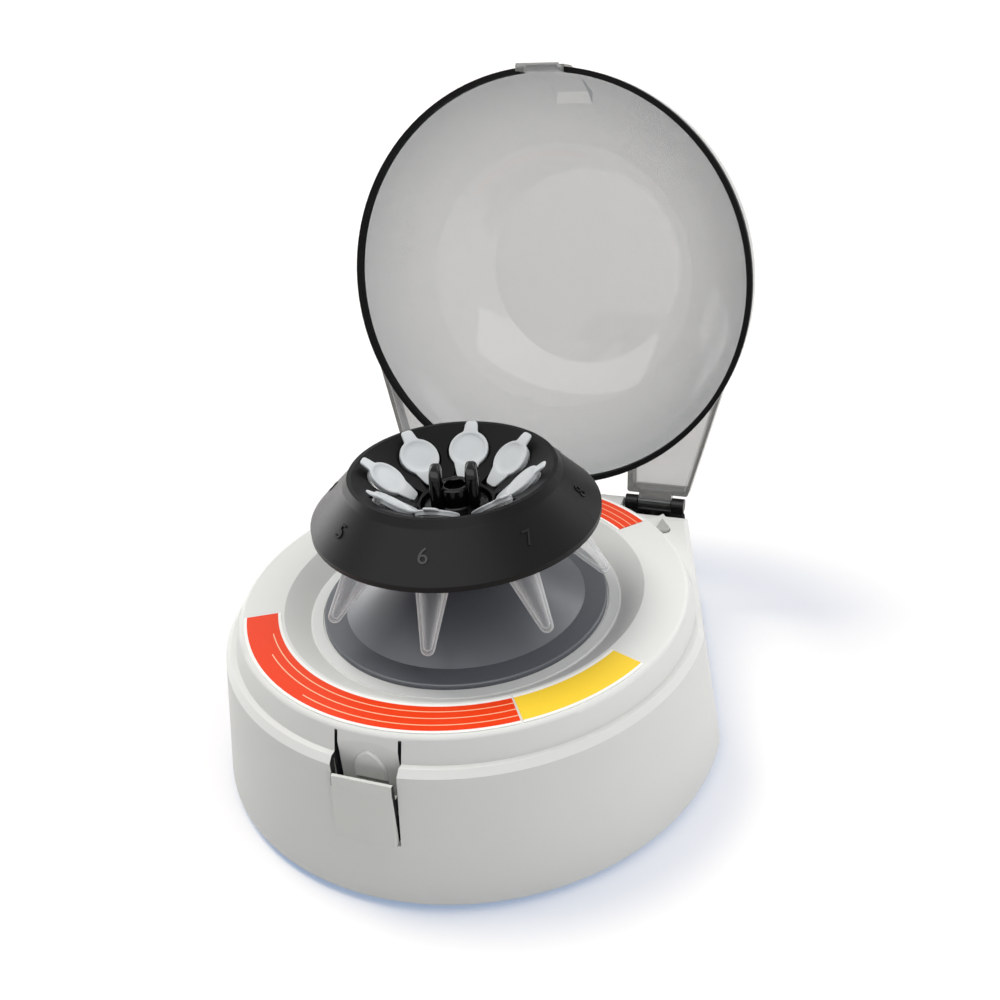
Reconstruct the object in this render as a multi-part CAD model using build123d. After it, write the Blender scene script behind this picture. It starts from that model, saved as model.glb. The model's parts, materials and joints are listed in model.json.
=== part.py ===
"""Round mini centrifuge with its lid open, as separate pieces in their rest places.

Origin: the drum's axis where it meets the bench. +Z up, the front latch at -Y, the hinge at +Y.
Sizes are millimetres.
"""

import math
import os

from build123d import *

# Drum housing
drum_radius = 76.0
drum_flare = 5.5
side_step = 0.7
side_lean = 15.0
knee_round = 14.0
corner_round = 7.0
foot_height = 2.5
seam_z = 42.3
lid_edge_inset = 0.8
hinge_setback = 2.8
hinge_edge = 2.5
shell_wall = 2.5
fit_gap = 0.2

# Top cover
bevel = 1.7
shelf_thickness = 2.5
shelf_width = 3.4
deck_side = 2.2
deck_rise = 7.4
deck_edge_round = 1.6
deck_thickness = 2.5
well_edge = 13.6
well_side = 7.4
well_depth = 5.3
well_floor_width = 6.4
cover_lip = 4.2
cover_lip_wall = 2.0
post_radius = 4.0
post_inset = 16.0
front_post_y = -30.0
rear_post_inset = (36.0, 20.5)

# Bottom plate, feet and housing screws
plate_thickness = 2.5
foot_radius = 8.0
foot_peg_radius = 2.4
front_foot_inset = (26.0, 30.0)
rear_foot_inset = (22.0, 32.5)
vent_count = 7
vent_pitch = 6.0
vent_width = 2.4
vent_length = 26.0
vent_y = -34.0
screw_radius = 1.5
screw_gap = 0.1
screw_head_radius = 2.8
screw_head_height = 1.6
screw_length = 14.0
screw_slot_width = 0.7
screw_slot_depth = 0.8

# Seal ring and liner of the well
seal_gap = 0.4
seal_ring_width = 3.5
seal_thickness = 1.2
seal_proud = 0.3
liner_gap = 0.4
liner_step = 1.8
liner_flange = 7.1
liner_top_radius = 14.0
liner_rise = 14.6
liner_wall = 2.2
liner_spigot = 3.0
liner_hole_radius = 9.5

# Coloured bands on the deck, angles from the front towards +X
band_edge = 1.4
band_width = 11.3
band_thickness = 0.25
front_band_angles = (-61.0, 34.0)
side_band_angles = (34.6, 68.0)
rear_band_angles = (137.5, 222.5)

# Motor
motor_radius = 18.0
motor_floor_room = 7.0
motor_headroom = 1.1
motor_wall = 1.2
motor_top_wall = 1.5
magnet_thickness = 3.0
magnet_lift = 8.0
magnet_room = 13.0
magnet_span = 130.0
armature_gap = 0.6
armature_slots = 5
armature_slot_width = 3.2
armature_short = 6.0
winding_height = 3.0
shaft_radius = 2.5
bearing_outer_radius = 5.0
bearing_height = 4.5
bearing_gap = 0.05
end_cap_height = 3.5
commutator_radius = 4.6
commutator_height = 5.0
brush_width = 3.0
brush_length = 5.0
terminal_x = 11.0
terminal_size = (2.8, 0.6, 1.8)

# Motor bracket on rubber dampers
bracket_gap = 0.3
bracket_wall = 2.0
bracket_top_wall = 2.0
bracket_flange_inset = 4.0
bracket_flange_thickness = 2.0
damper_height = 5.0
damper_radius = 5.0
damper_inset = 9.5
motor_screw_bite = 4.5
damper_count = 3
damper_turn = 30.0

# Rotor and its seat
rotor_rim_radius = 44.3
rotor_clearance = 3.9
rotor_rim_rise = 13.8
rotor_rim_height = 1.7
rotor_face_run = 13.9
rotor_face_rise = 13.7
rotor_lip_width = 1.3
rotor_shoulder = 2.4
rotor_face_angle = 45.5
rotor_skin = 2.4
dish_thickness = 2.6
hub_radius = 11.0
hub_recess = 3.8
insert_radius = 6.5
seat_radius = 7.5
seat_thickness = 1.8
spigot_radius = 4.0
spigot_gap = 0.05
spigot_height = 9.4
stud_radius = 3.0
stud_height = 8.0

# Winged nut
nut_base_radius = 10.3
nut_base_height = 2.6
nut_gap = 0.4
nut_core_radius = 5.2
nut_core_height = 9.5
nut_fin_offset = 5.4
nut_fin_thickness = 4.4
nut_fin_round = 1.6
nut_fin_length = 10.0
nut_fin_height = 16.2
nut_turn = 20.0

# Micro tubes
tube_count = 8
tube_start = 9.1
tube_tilt = 39.0
cap_from_lip = 10.0
cap_below_lip = 4.3
cap_radius = 6.4
cap_thickness = 1.5
collar_radius = 6.0
collar_thickness = 1.1
tube_radius = 5.35
tube_straight = 18.0
tube_length = 40.2
tube_tip_radius = 1.9
tube_wall = 0.9
tube_floor = 2.0
tube_hole_gap = 0.25
seat_side_gap = 0.8
strap_side_gap = 1.4
strap_end_gap = 1.0
tab_length = 3.4
tab_width = 4.2
strap_length = 4.0
strap_width = 4.6
strap_thickness = 0.7

# Lid, drawn shut and swung open about its hinge
hinge_rise = 1.0
lid_open_angle = 100.3
lid_gap = 0.4
lid_wall = 1.9
lid_band_height = 6.0
lid_height = 57.0
lid_shoulder = 35.2
lid_bow = 54.8
seal_height = 3.0
seal_width = 1.9
ear_offset = 41.9
ear_inset = 0.6
ear_side_step = 0.9
ear_height = 6.3
ear_wall = 2.0
ear_end_gap = 0.6
knuckle_radius = 2.3
hinge_pin_radius = 1.2
pin_running_gap = 0.05
lug_width = 4.6
lug_gap = 0.3
catch_width = 15.0
catch_drop = 6.6
catch_thickness = 1.7
catch_hook = 0.9
pad_width = 14.0
pad_rise = 39.0
pad_proud = 0.6
pad_top_inset = 7.7
pad_straight = 8.0

# Hinge pockets and blocks
pocket_depth = 8.0
pocket_drop = 6.9
strip_depth = 5.0
strip_drop = 1.5
pocket_wall = 2.0
pocket_margin = 0.7
block_gap = 0.4
block_height = 4.4

# Latch
slot_half_width = 9.75
slot_height = 21.5
slot_depth = 4.8
slot_wall = 2.0
groove_width = 0.9
groove_depth = 5.5
latch_side_gap = 0.8
latch_proud = 1.4
latch_back_inset = 1.4
latch_bottom_gap = 0.7
latch_face_drop = 5.2
latch_nose_drop = 1.9
latch_nose_proud = 0.2
latch_pivot_drop = 12.3
latch_pivot_inset = 1.4
latch_lug_size = 3.2
latch_barrel = 3.0
latch_room_rise = 5.2
latch_pin_radius = 1.2
latch_pin_overhang = 2.2
latch_lug_wall = 1.4
latch_lug_reach = 3.4
latch_spring_radius = 2.0
latch_spring_wire = 0.4
latch_spring_drop = 17.8
moon_width = 9.6
moon_drop = 5.7
moon_height = 9.4
moon_straight = 3.0
moon_proud = 0.8
moon_edge = 0.5
catch_slot_height = 1.6

# Lid switch
switch_pin_angle = 48.65
switch_pin_lid_gap = 0.3
switch_pin_turn = 14.0
switch_pin_proud = 1.2
switch_pin_radius = 2.3
switch_pin_tail = 4.0
switch_pin_round = 0.4
island_size = (6.2, 4.2)
island_shift = -2.2
switch_stem_radius = 1.3
switch_pin_gap = 0.15
switch_pin_travel = 1.0
switch_body = (6.0, 12.8, 6.5)
switch_drop = 5.2
switch_leg_pitch = 4.5
switch_leg_size = (0.6, 2.0, 3.2)
switch_plunger_height = 1.0
pin_spring_radius = 2.3
pin_spring_wire = 0.35

# Rear panel: rocker switch and power inlet
rear_panel_z = 20.0
rocker_x = -26.0
rocker_frame_size = (21.0, 15.0)
rocker_frame_lip = 1.5
rocker_frame_depth = 12.0
rocker_frame_wall = 1.6
rocker_gap = 0.3
rocker_tilt = 9.0
rocker_depth = 7.0
rocker_peg_radius = 1.0
rocker_peg_reach = 1.1
rocker_peg_gap = 0.1
inlet_x = 26.0
inlet_size = (11.0, 11.0, 13.0)
inlet_bore_radius = 3.2
inlet_pin_radius = 1.0
inlet_bore_depth = 10.0
inlet_lip = 0.8

# Circuit board
board_size = (66.0, 24.0, 1.6)
board_inset = 36.5
board_z = 11.0
board_post_radius = 2.6
board_post_inset = 3.5
board_screw_radius = 1.2
board_screw_head = 2.2
board_screw_bite = 3.0
main_capacitor = (4.0, 12.0)
small_capacitor = (3.0, 9.0)
capacitor_x = -16.0
capacitor_pitch = (9.0, 8.0)
relay_size = (15.0, 12.0, 9.0)
relay_x = 9.5
connector_size = (4.0, 10.0, 6.0)
connector_x = 22.0
connector_y = -2.0
lead_radius = 0.8
lead_bend = 1.8
lead_reach = 5.0

# Heights and radii worked out from the sizes above
lean = math.radians(side_lean)
tilt = math.radians(tube_tilt)
lid_outer_radius = drum_radius - lid_edge_inset
lid_flat_radius = lid_outer_radius - lid_shoulder
ear_inner_x = lid_outer_radius - ear_offset
hinge_y = lid_outer_radius + hinge_setback
hinge_z = seam_z + hinge_rise
rear_edge = hinge_y + hinge_edge
pocket_front_y = hinge_y - pocket_depth
pocket_floor_z = hinge_z - pocket_drop
deck_foot_radius = drum_radius - shelf_width
deck_edge_radius = deck_foot_radius - deck_side
band_outer_radius = deck_edge_radius - band_edge
band_inner_radius = band_outer_radius - band_width
well_top_radius = deck_edge_radius - well_edge
well_foot_radius = well_top_radius - well_side
well_hole_radius = well_foot_radius - well_floor_width
seal_outer_radius = well_foot_radius - seal_gap
seal_inner_radius = seal_outer_radius - seal_ring_width
liner_edge_radius = seal_inner_radius - liner_gap
liner_crease_radius = liner_edge_radius - liner_flange
plate_z = foot_height
plate_top_z = plate_z + plate_thickness
shelf_z = seam_z + bevel
cover_under_z = shelf_z - shelf_thickness
deck_z = shelf_z + deck_rise
well_z = deck_z - well_depth
liner_z = well_z + liner_step
liner_top_z = liner_z + liner_rise
liner_slope = liner_rise / (liner_crease_radius - liner_top_radius)
liner_drop = liner_wall * math.sqrt(1 + liner_slope ** 2)
flare_angle = math.degrees(math.atan2(drum_flare, seam_z - plate_z))
front_post_x = drum_radius - post_inset
rear_post_x = drum_radius - rear_post_inset[0]
rear_post_y = rear_edge - rear_post_inset[1]
post_spots = [
    (front_post_x, front_post_y), (-front_post_x, front_post_y),
    (rear_post_x, rear_post_y), (-rear_post_x, rear_post_y),
]
front_foot = (drum_radius - front_foot_inset[0], front_foot_inset[1] - drum_radius)
rear_foot = (drum_radius - rear_foot_inset[0], rear_edge - rear_foot_inset[1])
foot_spots = [front_foot, (-front_foot[0], front_foot[1]), rear_foot, (-rear_foot[0], rear_foot[1])]
bracket_radius = motor_radius + bracket_gap + bracket_wall
bracket_flange_radius = well_hole_radius - bracket_flange_inset
bracket_flange_z = well_z - deck_thickness - damper_height
damper_circle = well_hole_radius - damper_inset
liner_under_bracket = liner_z + (liner_crease_radius - bracket_radius) * liner_slope - liner_drop
bracket_top_z = liner_under_bracket - motor_headroom
motor_top_z = bracket_top_z - bracket_top_wall
motor_bottom_z = plate_top_z + motor_floor_room
magnet_bottom_z = motor_bottom_z + magnet_lift
magnet_height = motor_top_z - motor_bottom_z - magnet_room
armature_height = magnet_height - armature_short
hub_bottom_z = liner_top_z + rotor_clearance
seat_z = hub_bottom_z - seat_thickness
rotor_rim_z = hub_bottom_z + rotor_rim_rise
rotor_lip_z = rotor_rim_z + rotor_face_rise
rotor_lip_radius = rotor_rim_radius - rotor_face_run
dish_hub_z = rotor_lip_z - (rotor_lip_radius - hub_radius) * math.tan(tilt)
dish_foot_z = dish_hub_z + hub_recess
dish_slope = (rotor_lip_z - dish_foot_z) / (rotor_lip_radius - hub_radius)
cap_radius_from_axis = rotor_lip_radius - cap_from_lip
cap_top_z = rotor_lip_z - cap_below_lip
slot_bottom_z = seam_z - slot_height
slot_back_y = slot_depth - drum_radius
latch_back_y = latch_back_inset - drum_radius
latch_face_top_z = seam_z - latch_face_drop
latch_nose_z = seam_z - latch_nose_drop
latch_nose_back_y = -drum_radius - latch_nose_proud
latch_pivot_y = latch_pivot_inset - drum_radius
latch_pivot_z = seam_z - latch_pivot_drop
latch_spring_z = seam_z - latch_spring_drop
moon_foot_z = seam_z - moon_drop
recess_floor_z = latch_pivot_z + latch_lug_size + fit_gap
switch_pin_circle = lid_outer_radius + switch_pin_radius + switch_pin_lid_gap
switch_pin_x = switch_pin_circle * math.cos(math.radians(switch_pin_angle))
switch_pin_y = switch_pin_circle * math.sin(math.radians(switch_pin_angle))
board_center_y = rear_edge - board_inset


def disc(radius, bottom, height):
    """A solid cylinder on the drum's axis."""
    return Pos(0, 0, bottom) * Cylinder(radius, height, align=(Align.CENTER, Align.CENTER, Align.MIN))


def peg(radius, x, y, bottom, height):
    """An upright cylinder at x, y."""
    return Pos(x, y, 0) * disc(radius, bottom, height)


def cross_rod(radius, x_from, x_to, y, z):
    """A cylinder along X."""
    middle = (x_from + x_to) / 2
    return Pos(middle, y, z) * Rot(0, 90, 0) * Cylinder(radius, x_to - x_from)


def block(x_from, x_to, y_from, y_to, z_from, z_to):
    """A box between two corners."""
    middle = ((x_from + x_to) / 2, (y_from + y_to) / 2, (z_from + z_to) / 2)
    return Pos(*middle) * Box(x_to - x_from, y_to - y_from, z_to - z_from)


def turned(points):
    """A closed half outline of (radius, height) points, turned about the drum's axis."""
    face = make_face(Plane.XZ * Polyline(*points, close=True))
    return revolve(face, Axis.Z, 360)


def side_prism(points, half_width):
    """A closed outline of (y, z) points, drawn out along X to both sides of the middle."""
    face = make_face(Plane.YZ * Polyline(*points, close=True))
    return extrude(face, half_width, both=True)


def side_x(y, inset):
    """The X of the housing's straight side at y, with the outline drawn in by inset."""
    foot = drum_radius + side_step - inset / math.cos(lean)
    return foot - y * math.tan(lean)


def outline(inset, z):
    """The housing's plan: a round front, two leaning sides and a straight hinge edge."""
    radius = drum_radius - inset
    rear = rear_edge - inset
    knee_y = (side_x(0, inset) - radius) / math.tan(lean)
    corner_x = side_x(rear, inset)
    front = ThreePointArc((-radius, 0), (0, -radius), (radius, 0))
    back = Polyline(
        (radius, 0), (radius, knee_y), (corner_x, rear), (-corner_x, rear), (-radius, knee_y), (-radius, 0)
    )
    face = make_face(front + back)
    knees = [v for v in face.vertices() if abs(v.Y - knee_y) < 0.01]
    knee_limit = 0.8 * knee_y / math.tan(lean / 2)
    face = fillet(knees, min(knee_round, knee_limit))
    corners = [v for v in face.vertices() if abs(v.Y - rear) < 0.01]
    face = fillet(corners, max(corner_round - inset, 1.0))
    return Pos(0, 0, z) * face


def drum(inset):
    """The flared drum from the bottom edge to the seam, drawn in by inset."""
    lower = outline(inset - drum_flare, plate_z)
    upper = outline(inset, seam_z)
    return loft([lower, upper], ruled=True)


def upright(inset, z_from, z_to):
    """The plan outline drawn in by inset, standing between two heights."""
    return extrude(outline(inset, z_from), z_to - z_from)


def rear_face_y(z):
    """The Y of the sloping rear face at height z."""
    return rear_edge + drum_flare * (seam_z - z) / (seam_z - plate_z)


def on_rear_face(x, z):
    """The place of a piece on the rear face, its local +Y pointing out of the wall."""
    return Pos(x, rear_face_y(z), z) * Rot(flare_angle, 0, 0)


def both_sides(piece):
    """A piece and its mirror image across the YZ plane."""
    return piece + mirror(piece, Plane.YZ)


def coil(radius, wire, height, turns, bottom):
    """One unbroken coil spring about the drum's axis, from bottom upwards."""
    path = Pos(0, 0, bottom) * Helix(height / turns, height, radius)
    start = Plane(path @ 0, z_dir=path % 0)
    return sweep(start * Circle(wire), path)


def pocket_box(grow):
    """The right hinge pocket, open at the back, the side and the top, grown by a wall."""
    return block(
        ear_inner_x - pocket_margin - grow,
        drum_radius + drum_flare,
        pocket_front_y - grow,
        rear_edge + 2 * drum_flare,
        pocket_floor_z - grow,
        deck_z,
    )


def base_shell():
    """Drum wall with the latch window, hinge pockets, latch lugs and rear panel openings."""
    body = drum(0)
    walls = body - (drum(shell_wall) + upright(shell_wall, seam_z - 0.01, seam_z))
    below_cover = upright(0.5 * shell_wall, plate_z, cover_under_z - fit_gap)
    pockets = both_sides(pocket_box(pocket_wall)) & body & below_cover
    lugs = both_sides(
        block(
            slot_half_width, slot_half_width + latch_pin_overhang + latch_lug_wall,
            -drum_radius - drum_flare, latch_pivot_y + latch_lug_reach,
            latch_pivot_z - latch_lug_size, latch_pivot_z + latch_lug_size,
        )
    ) & body
    spring_post = block(
        -slot_half_width - slot_wall, slot_half_width + slot_wall, slot_back_y, slot_back_y + slot_wall,
        slot_bottom_z, recess_floor_z - fit_gap,
    )
    spring_shelf = block(
        -slot_half_width - slot_wall, slot_half_width + slot_wall, -drum_radius - drum_flare,
        slot_back_y + slot_wall,
        slot_bottom_z - slot_wall, slot_bottom_z,
    ) & body
    body = walls + pockets + lugs + spring_post + spring_shelf
    window = block(
        -slot_half_width, slot_half_width, -drum_radius - 2 * drum_flare, slot_back_y,
        slot_bottom_z, seam_z + 1,
    )
    body = body - window - both_sides(pocket_box(0))
    body = body - cross_rod(
        latch_pin_radius, -slot_half_width - latch_pin_overhang, slot_half_width + latch_pin_overhang,
        latch_pivot_y, latch_pivot_z,
    )
    panel = on_rear_face(rocker_x, rear_panel_z)
    opening = Box(
        rocker_frame_size[0] - 2 * rocker_frame_lip, 4 * shell_wall,
        rocker_frame_size[1] - 2 * rocker_frame_lip,
    )
    body = body - panel * opening
    inlet = on_rear_face(inlet_x, rear_panel_z)
    body = body - inlet * Box(inlet_size[0], 4 * shell_wall, inlet_size[1])
    for x, y in hinge_screw_spots():
        body = body - peg(screw_radius, x, y, pocket_floor_z - pocket_wall, pocket_wall)
    return body


def deck_solid():
    """The raised deck above the seam with its rounded edge, before the well is cut."""
    body = turned(
        [(0, seam_z), (deck_foot_radius, seam_z), (deck_foot_radius, shelf_z),
         (deck_edge_radius, deck_z), (0, deck_z)]
    )
    rim = body.edges().filter_by(GeomType.CIRCLE).group_by(Axis.Z)[-1]
    return fillet(rim, deck_edge_round)


def cover_hollow():
    """The hollow under the deck, down through the lip."""
    under = deck_z - deck_thickness
    edge = deck_edge_radius - deck_thickness
    well_foot = well_foot_radius + deck_thickness
    well_top = well_top_radius + deck_thickness
    return turned(
        [(0, cover_under_z - 1), (0, well_z - deck_thickness), (well_foot, well_z - deck_thickness),
         (well_top, under), (edge, under), (deck_foot_radius - deck_thickness, cover_under_z),
         (deck_foot_radius - deck_thickness, cover_under_z - 1)]
    )


def top_cover():
    """Bevelled ledge, shelf, raised deck, well, screw posts, latch recess and pin hole."""
    ledge = loft([outline(0, seam_z), outline(bevel, shelf_z)], ruled=True)
    lip = upright(shell_wall + fit_gap, seam_z - cover_lip, seam_z)
    body = ledge + lip + deck_solid()
    body = body - upright(shell_wall + fit_gap + cover_lip_wall, seam_z - cover_lip - 1, cover_under_z)
    well = turned(
        [(0, well_z), (well_foot_radius, well_z), (well_top_radius, deck_z), (well_top_radius, deck_z + 2),
         (0, deck_z + 2)]
    )
    body = body - well - cover_hollow()
    body = body - disc(well_hole_radius, cover_under_z - deck_rise, 3 * deck_rise)
    groove = disc(seal_outer_radius, well_z - seal_thickness + seal_proud, seal_thickness)
    groove = groove - disc(seal_inner_radius, well_z - seal_thickness + seal_proud, seal_thickness)
    body = body - groove
    for x, y in post_spots:
        body = body + peg(post_radius, x, y, plate_top_z, cover_under_z - plate_top_z + 0.5)
    body = body + latch_housing()
    body = body - latch_recess()
    body = body + half_moon()
    body = body - block(
        -moon_width / 2, moon_width / 2, slot_back_y - 1, slot_back_y + slot_wall + 1,
        moon_foot_z - catch_slot_height - 0.6, moon_foot_z - 0.6,
    )
    body = body - both_sides(hinge_strip()) + both_sides(pin_island())
    body = body - both_sides(
        block(
            slot_half_width - groove_width, slot_half_width, slot_back_y, slot_back_y + groove_depth,
            recess_floor_z, deck_z - deck_edge_round,
        )
    )
    body = body - both_sides(pocket_box(fit_gap))
    below = upright(0, plate_z, cover_under_z)
    body = body - (both_sides(pocket_box(pocket_wall + fit_gap)) & below)
    boss = peg(switch_stem_radius + 1.6, switch_pin_x, switch_pin_y, cover_under_z - 1.2, 1.5)
    body = body + boss - switch_pin_hole()
    for x, y in post_spots:
        body = body - peg(screw_radius, x, y, plate_top_z, screw_length)
    return body


def hinge_strip():
    """The wedge cut from the shelf in front of the right hinge pocket, so that it slopes down."""
    start = pocket_front_y - strip_depth
    wedge = make_face(
        Plane.YZ * Polyline(
            (start, shelf_z), (pocket_front_y, shelf_z - strip_drop), (pocket_front_y, deck_z),
            (start, deck_z), close=True,
        )
    )
    inner = ear_inner_x - pocket_margin
    return Pos(inner, 0, 0) * extrude(wedge, drum_radius - inner)


def pin_island():
    """The pointed piece of shelf left standing behind the lid pin."""
    wide, long = island_size
    start = pocket_front_y - strip_depth
    middle = switch_pin_x + island_shift
    face = make_face(
        Polyline((middle - wide / 2, start), (middle + wide / 2, start), (middle, start + long), close=True)
    )
    return Pos(0, 0, cover_under_z) * extrude(face, shelf_thickness)


def latch_housing():
    """The walls of the latch recess, behind and beside it, below the deck."""
    walls = block(
        -slot_half_width - slot_wall, slot_half_width + slot_wall, -drum_radius, slot_back_y + slot_wall,
        recess_floor_z, deck_z - deck_thickness,
    )
    bounds = upright(shell_wall + fit_gap, plate_z, seam_z) + deck_solid()
    return walls & bounds


def latch_recess():
    """The space of the latch slot inside the cover."""
    return block(
        -slot_half_width, slot_half_width, -drum_radius - 1, slot_back_y, slot_bottom_z, deck_z + 1
    )


def half_moon():
    """The arched plate on the back wall of the latch recess."""
    half = moon_width / 2
    rise = moon_height - moon_straight
    left = Polyline((0, 0), (-half, 0), (-half, moon_straight))
    bulge = (0.68 * half, moon_straight + 0.62 * rise)
    left_arc = ThreePointArc((-half, moon_straight), (-bulge[0], bulge[1]), (0, moon_height))
    right_arc = ThreePointArc((0, moon_height), bulge, (half, moon_straight))
    right = Polyline((half, moon_straight), (half, 0), (0, 0))
    face = make_face(left + left_arc + right_arc + right)
    plate = extrude(Plane.XZ * face, moon_proud, dir=(0, -1, 0))
    plate = chamfer(plate.faces().sort_by(Axis.Y)[0].edges(), moon_edge)
    return Pos(0, slot_back_y, moon_foot_z) * plate


def teardrop(radius, tail, height):
    """A drop-shaped prism: a round end with a tapering tail towards +Y."""
    tip = radius + tail
    wedge = make_face(Polyline((-radius, 0), (radius, 0), (0, tip), close=True))
    face = Circle(radius) + wedge
    return extrude(face, height)


def switch_pin_hole():
    """The drop-shaped pocket and stem hole of the lid switch pin in the shelf."""
    floor_z = shelf_z - switch_pin_travel - 2 * switch_pin_gap
    place = Pos(switch_pin_x, switch_pin_y, floor_z) * Rot(0, 0, switch_pin_turn)
    pocket = place * teardrop(
        switch_pin_radius + 2 * switch_pin_gap, switch_pin_tail + 3 * switch_pin_gap, deck_rise
    )
    hole = peg(
        switch_stem_radius + switch_pin_gap, switch_pin_x, switch_pin_y,
        cover_under_z - 4, shelf_thickness + 6,
    )
    return pocket + hole


def lid_pin():
    """Drop-shaped head on a stem that presses the lid switch."""
    height = switch_pin_proud
    place = Pos(switch_pin_x, switch_pin_y, shelf_z) * Rot(0, 0, switch_pin_turn)
    head = place * teardrop(switch_pin_radius, switch_pin_tail, height)
    top = head.edges().group_by(Axis.Z)[-1]
    head = fillet(top, switch_pin_round)
    stem_foot = switch_body_top() + switch_plunger_height + switch_pin_gap + switch_pin_travel
    stem = peg(switch_stem_radius, switch_pin_x, switch_pin_y, stem_foot, shelf_z + fit_gap - stem_foot)
    return head + stem


def switch_body_top():
    """The height of the lid switch's upper face."""
    return cover_under_z - switch_drop


def lid_switch():
    """Small snap switch under the lid pin."""
    wide, long, high = switch_body
    top = switch_body_top()
    body = block(
        switch_pin_x - wide / 2, switch_pin_x + wide / 2, switch_pin_y - long / 2, switch_pin_y + long / 2,
        top - high, top,
    )
    body = fillet(body.edges().filter_by(Axis.Z), 0.6)
    body = body + peg(0.9, switch_pin_x, switch_pin_y, top, switch_plunger_height)
    leg_wide, leg_long, leg_high = switch_leg_size
    for step in (-1, 0, 1):
        y = switch_pin_y + step * switch_leg_pitch
        body = body + block(
            switch_pin_x - leg_wide / 2, switch_pin_x + leg_wide / 2, y - leg_long / 2, y + leg_long / 2,
            top - high - leg_high, top - high,
        )
    return body


def lid_pin_spring():
    """Return spring round the lid pin's stem."""
    top = cover_under_z - 1.2
    bottom = switch_body_top()
    height = top - bottom - 2 * pin_spring_wire - 0.1
    spring = coil(pin_spring_radius, pin_spring_wire, height, 4, bottom + pin_spring_wire + 0.05)
    return Pos(switch_pin_x, switch_pin_y, 0) * spring


def bottom_plate():
    """Base plate inside the drum's foot with vents, foot holes, screw holes and board posts."""
    body = extrude(outline(shell_wall + fit_gap - drum_flare + 0.4, plate_z), plate_thickness)
    for index in range(vent_count):
        x = (index - (vent_count - 1) / 2) * vent_pitch
        slot = SlotOverall(vent_length, vent_width, rotation=90)
        body = body - Pos(x, vent_y, plate_z) * extrude(slot, plate_thickness)
    for x, y in foot_spots:
        body = body - peg(foot_peg_radius, x, y, plate_z, plate_thickness)
    for x, y in post_spots:
        body = body - peg(screw_radius + screw_gap, x, y, plate_z, plate_thickness)
        body = body - peg(screw_head_radius + fit_gap, x, y, plate_z, screw_head_height)
    for x, y in board_spots():
        body = body + peg(board_post_radius, x, y, plate_top_z, board_z - plate_top_z)
        body = body - peg(board_screw_radius, x, y, board_z - 4.0, 4.0)
    return body


def rubber_feet():
    """Four rounded rubber feet with pegs through the bottom plate."""
    feet = []
    for x, y in foot_spots:
        foot = peg(foot_radius, x, y, 0, foot_height)
        foot = fillet(foot.edges().group_by(Axis.Z)[0], 0.8)
        feet.append(foot + peg(foot_peg_radius, x, y, foot_height, plate_thickness + 0.8))
    return Compound(children=feet)


def screw(x, y, head_z, length, radius, head_radius):
    """A screw driven upwards, its head's lower face at head_z, with a cross recess."""
    body = peg(head_radius, x, y, head_z, screw_head_height)
    body = body + peg(radius, x, y, head_z + screw_head_height, length)
    arm = head_radius * 0.6
    half = screw_slot_width / 2
    cross = block(-arm, arm, -half, half, 0, screw_slot_depth)
    cross = cross + block(-half, half, -arm, arm, 0, screw_slot_depth)
    return body - Pos(x, y, head_z) * cross


def housing_screws():
    """Four screws through the bottom plate into the cover's posts."""
    shank = plate_thickness - screw_head_height + screw_length - 1.0
    screws = [screw(x, y, plate_z, shank, screw_radius, screw_head_radius) for x, y in post_spots]
    return Compound(children=screws)


def bowl_seal_ring():
    """Light seal ring at the foot of the well."""
    bottom = well_z - seal_thickness + seal_proud
    ring = disc(seal_outer_radius, bottom, seal_thickness) - disc(seal_inner_radius, bottom, seal_thickness)
    return fillet(ring.edges().group_by(Axis.Z)[-1], seal_proud * 0.6)


def bowl_liner():
    """Stepped dark liner: edge ring, crease and a cone that rises round the motor."""
    drop = liner_drop
    body = turned(
        [(liner_hole_radius, liner_top_z), (liner_top_radius, liner_top_z), (liner_crease_radius, liner_z),
         (liner_edge_radius, liner_z - 0.2), (liner_edge_radius, well_z),
         (well_hole_radius - fit_gap, well_z),
         (well_hole_radius - fit_gap, well_z - liner_spigot),
         (well_hole_radius - fit_gap - liner_wall, well_z - liner_spigot),
         (well_hole_radius - fit_gap - liner_wall, liner_z - liner_wall - 0.4),
         (liner_crease_radius - 0.5, liner_z - drop + 0.3), (liner_top_radius, liner_top_z - drop),
         (liner_hole_radius, liner_top_z - drop)]
    )
    outer = body.edges().filter_by(GeomType.CIRCLE).filter_by(
        lambda e: abs(e.radius - liner_edge_radius) < 0.01 and e.center().Z > well_z + 0.5
    )
    body = fillet(outer, 0.6)
    boss_foot = bracket_flange_z + damper_height
    filled = turned(
        [(0, boss_foot), (liner_crease_radius, boss_foot), (liner_crease_radius, liner_z),
         (liner_top_radius, liner_top_z), (0, liner_top_z)]
    )
    for x, y in damper_spots():
        body = body + (peg(damper_radius, x, y, boss_foot, liner_top_z) & filled)
    for x, y in damper_spots():
        body = body - peg(screw_radius, x, y, boss_foot, motor_screw_bite)
    return body


def band(angles):
    """A thin arc of coloured film on the deck between two angles from the front."""
    start, stop = angles
    ring = disc(band_outer_radius, deck_z, band_thickness) - disc(band_inner_radius, deck_z, band_thickness)
    reach = 2 * band_outer_radius
    wedge_arc = []
    for share in (0, 0.25, 0.5, 0.75, 1):
        angle = math.radians(start + (stop - start) * share)
        wedge_arc.append((reach * math.sin(angle), -reach * math.cos(angle)))
    wedge = extrude(make_face(Polyline((0, 0), *wedge_arc, close=True)), deck_z + 5)
    return ring & wedge


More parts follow.
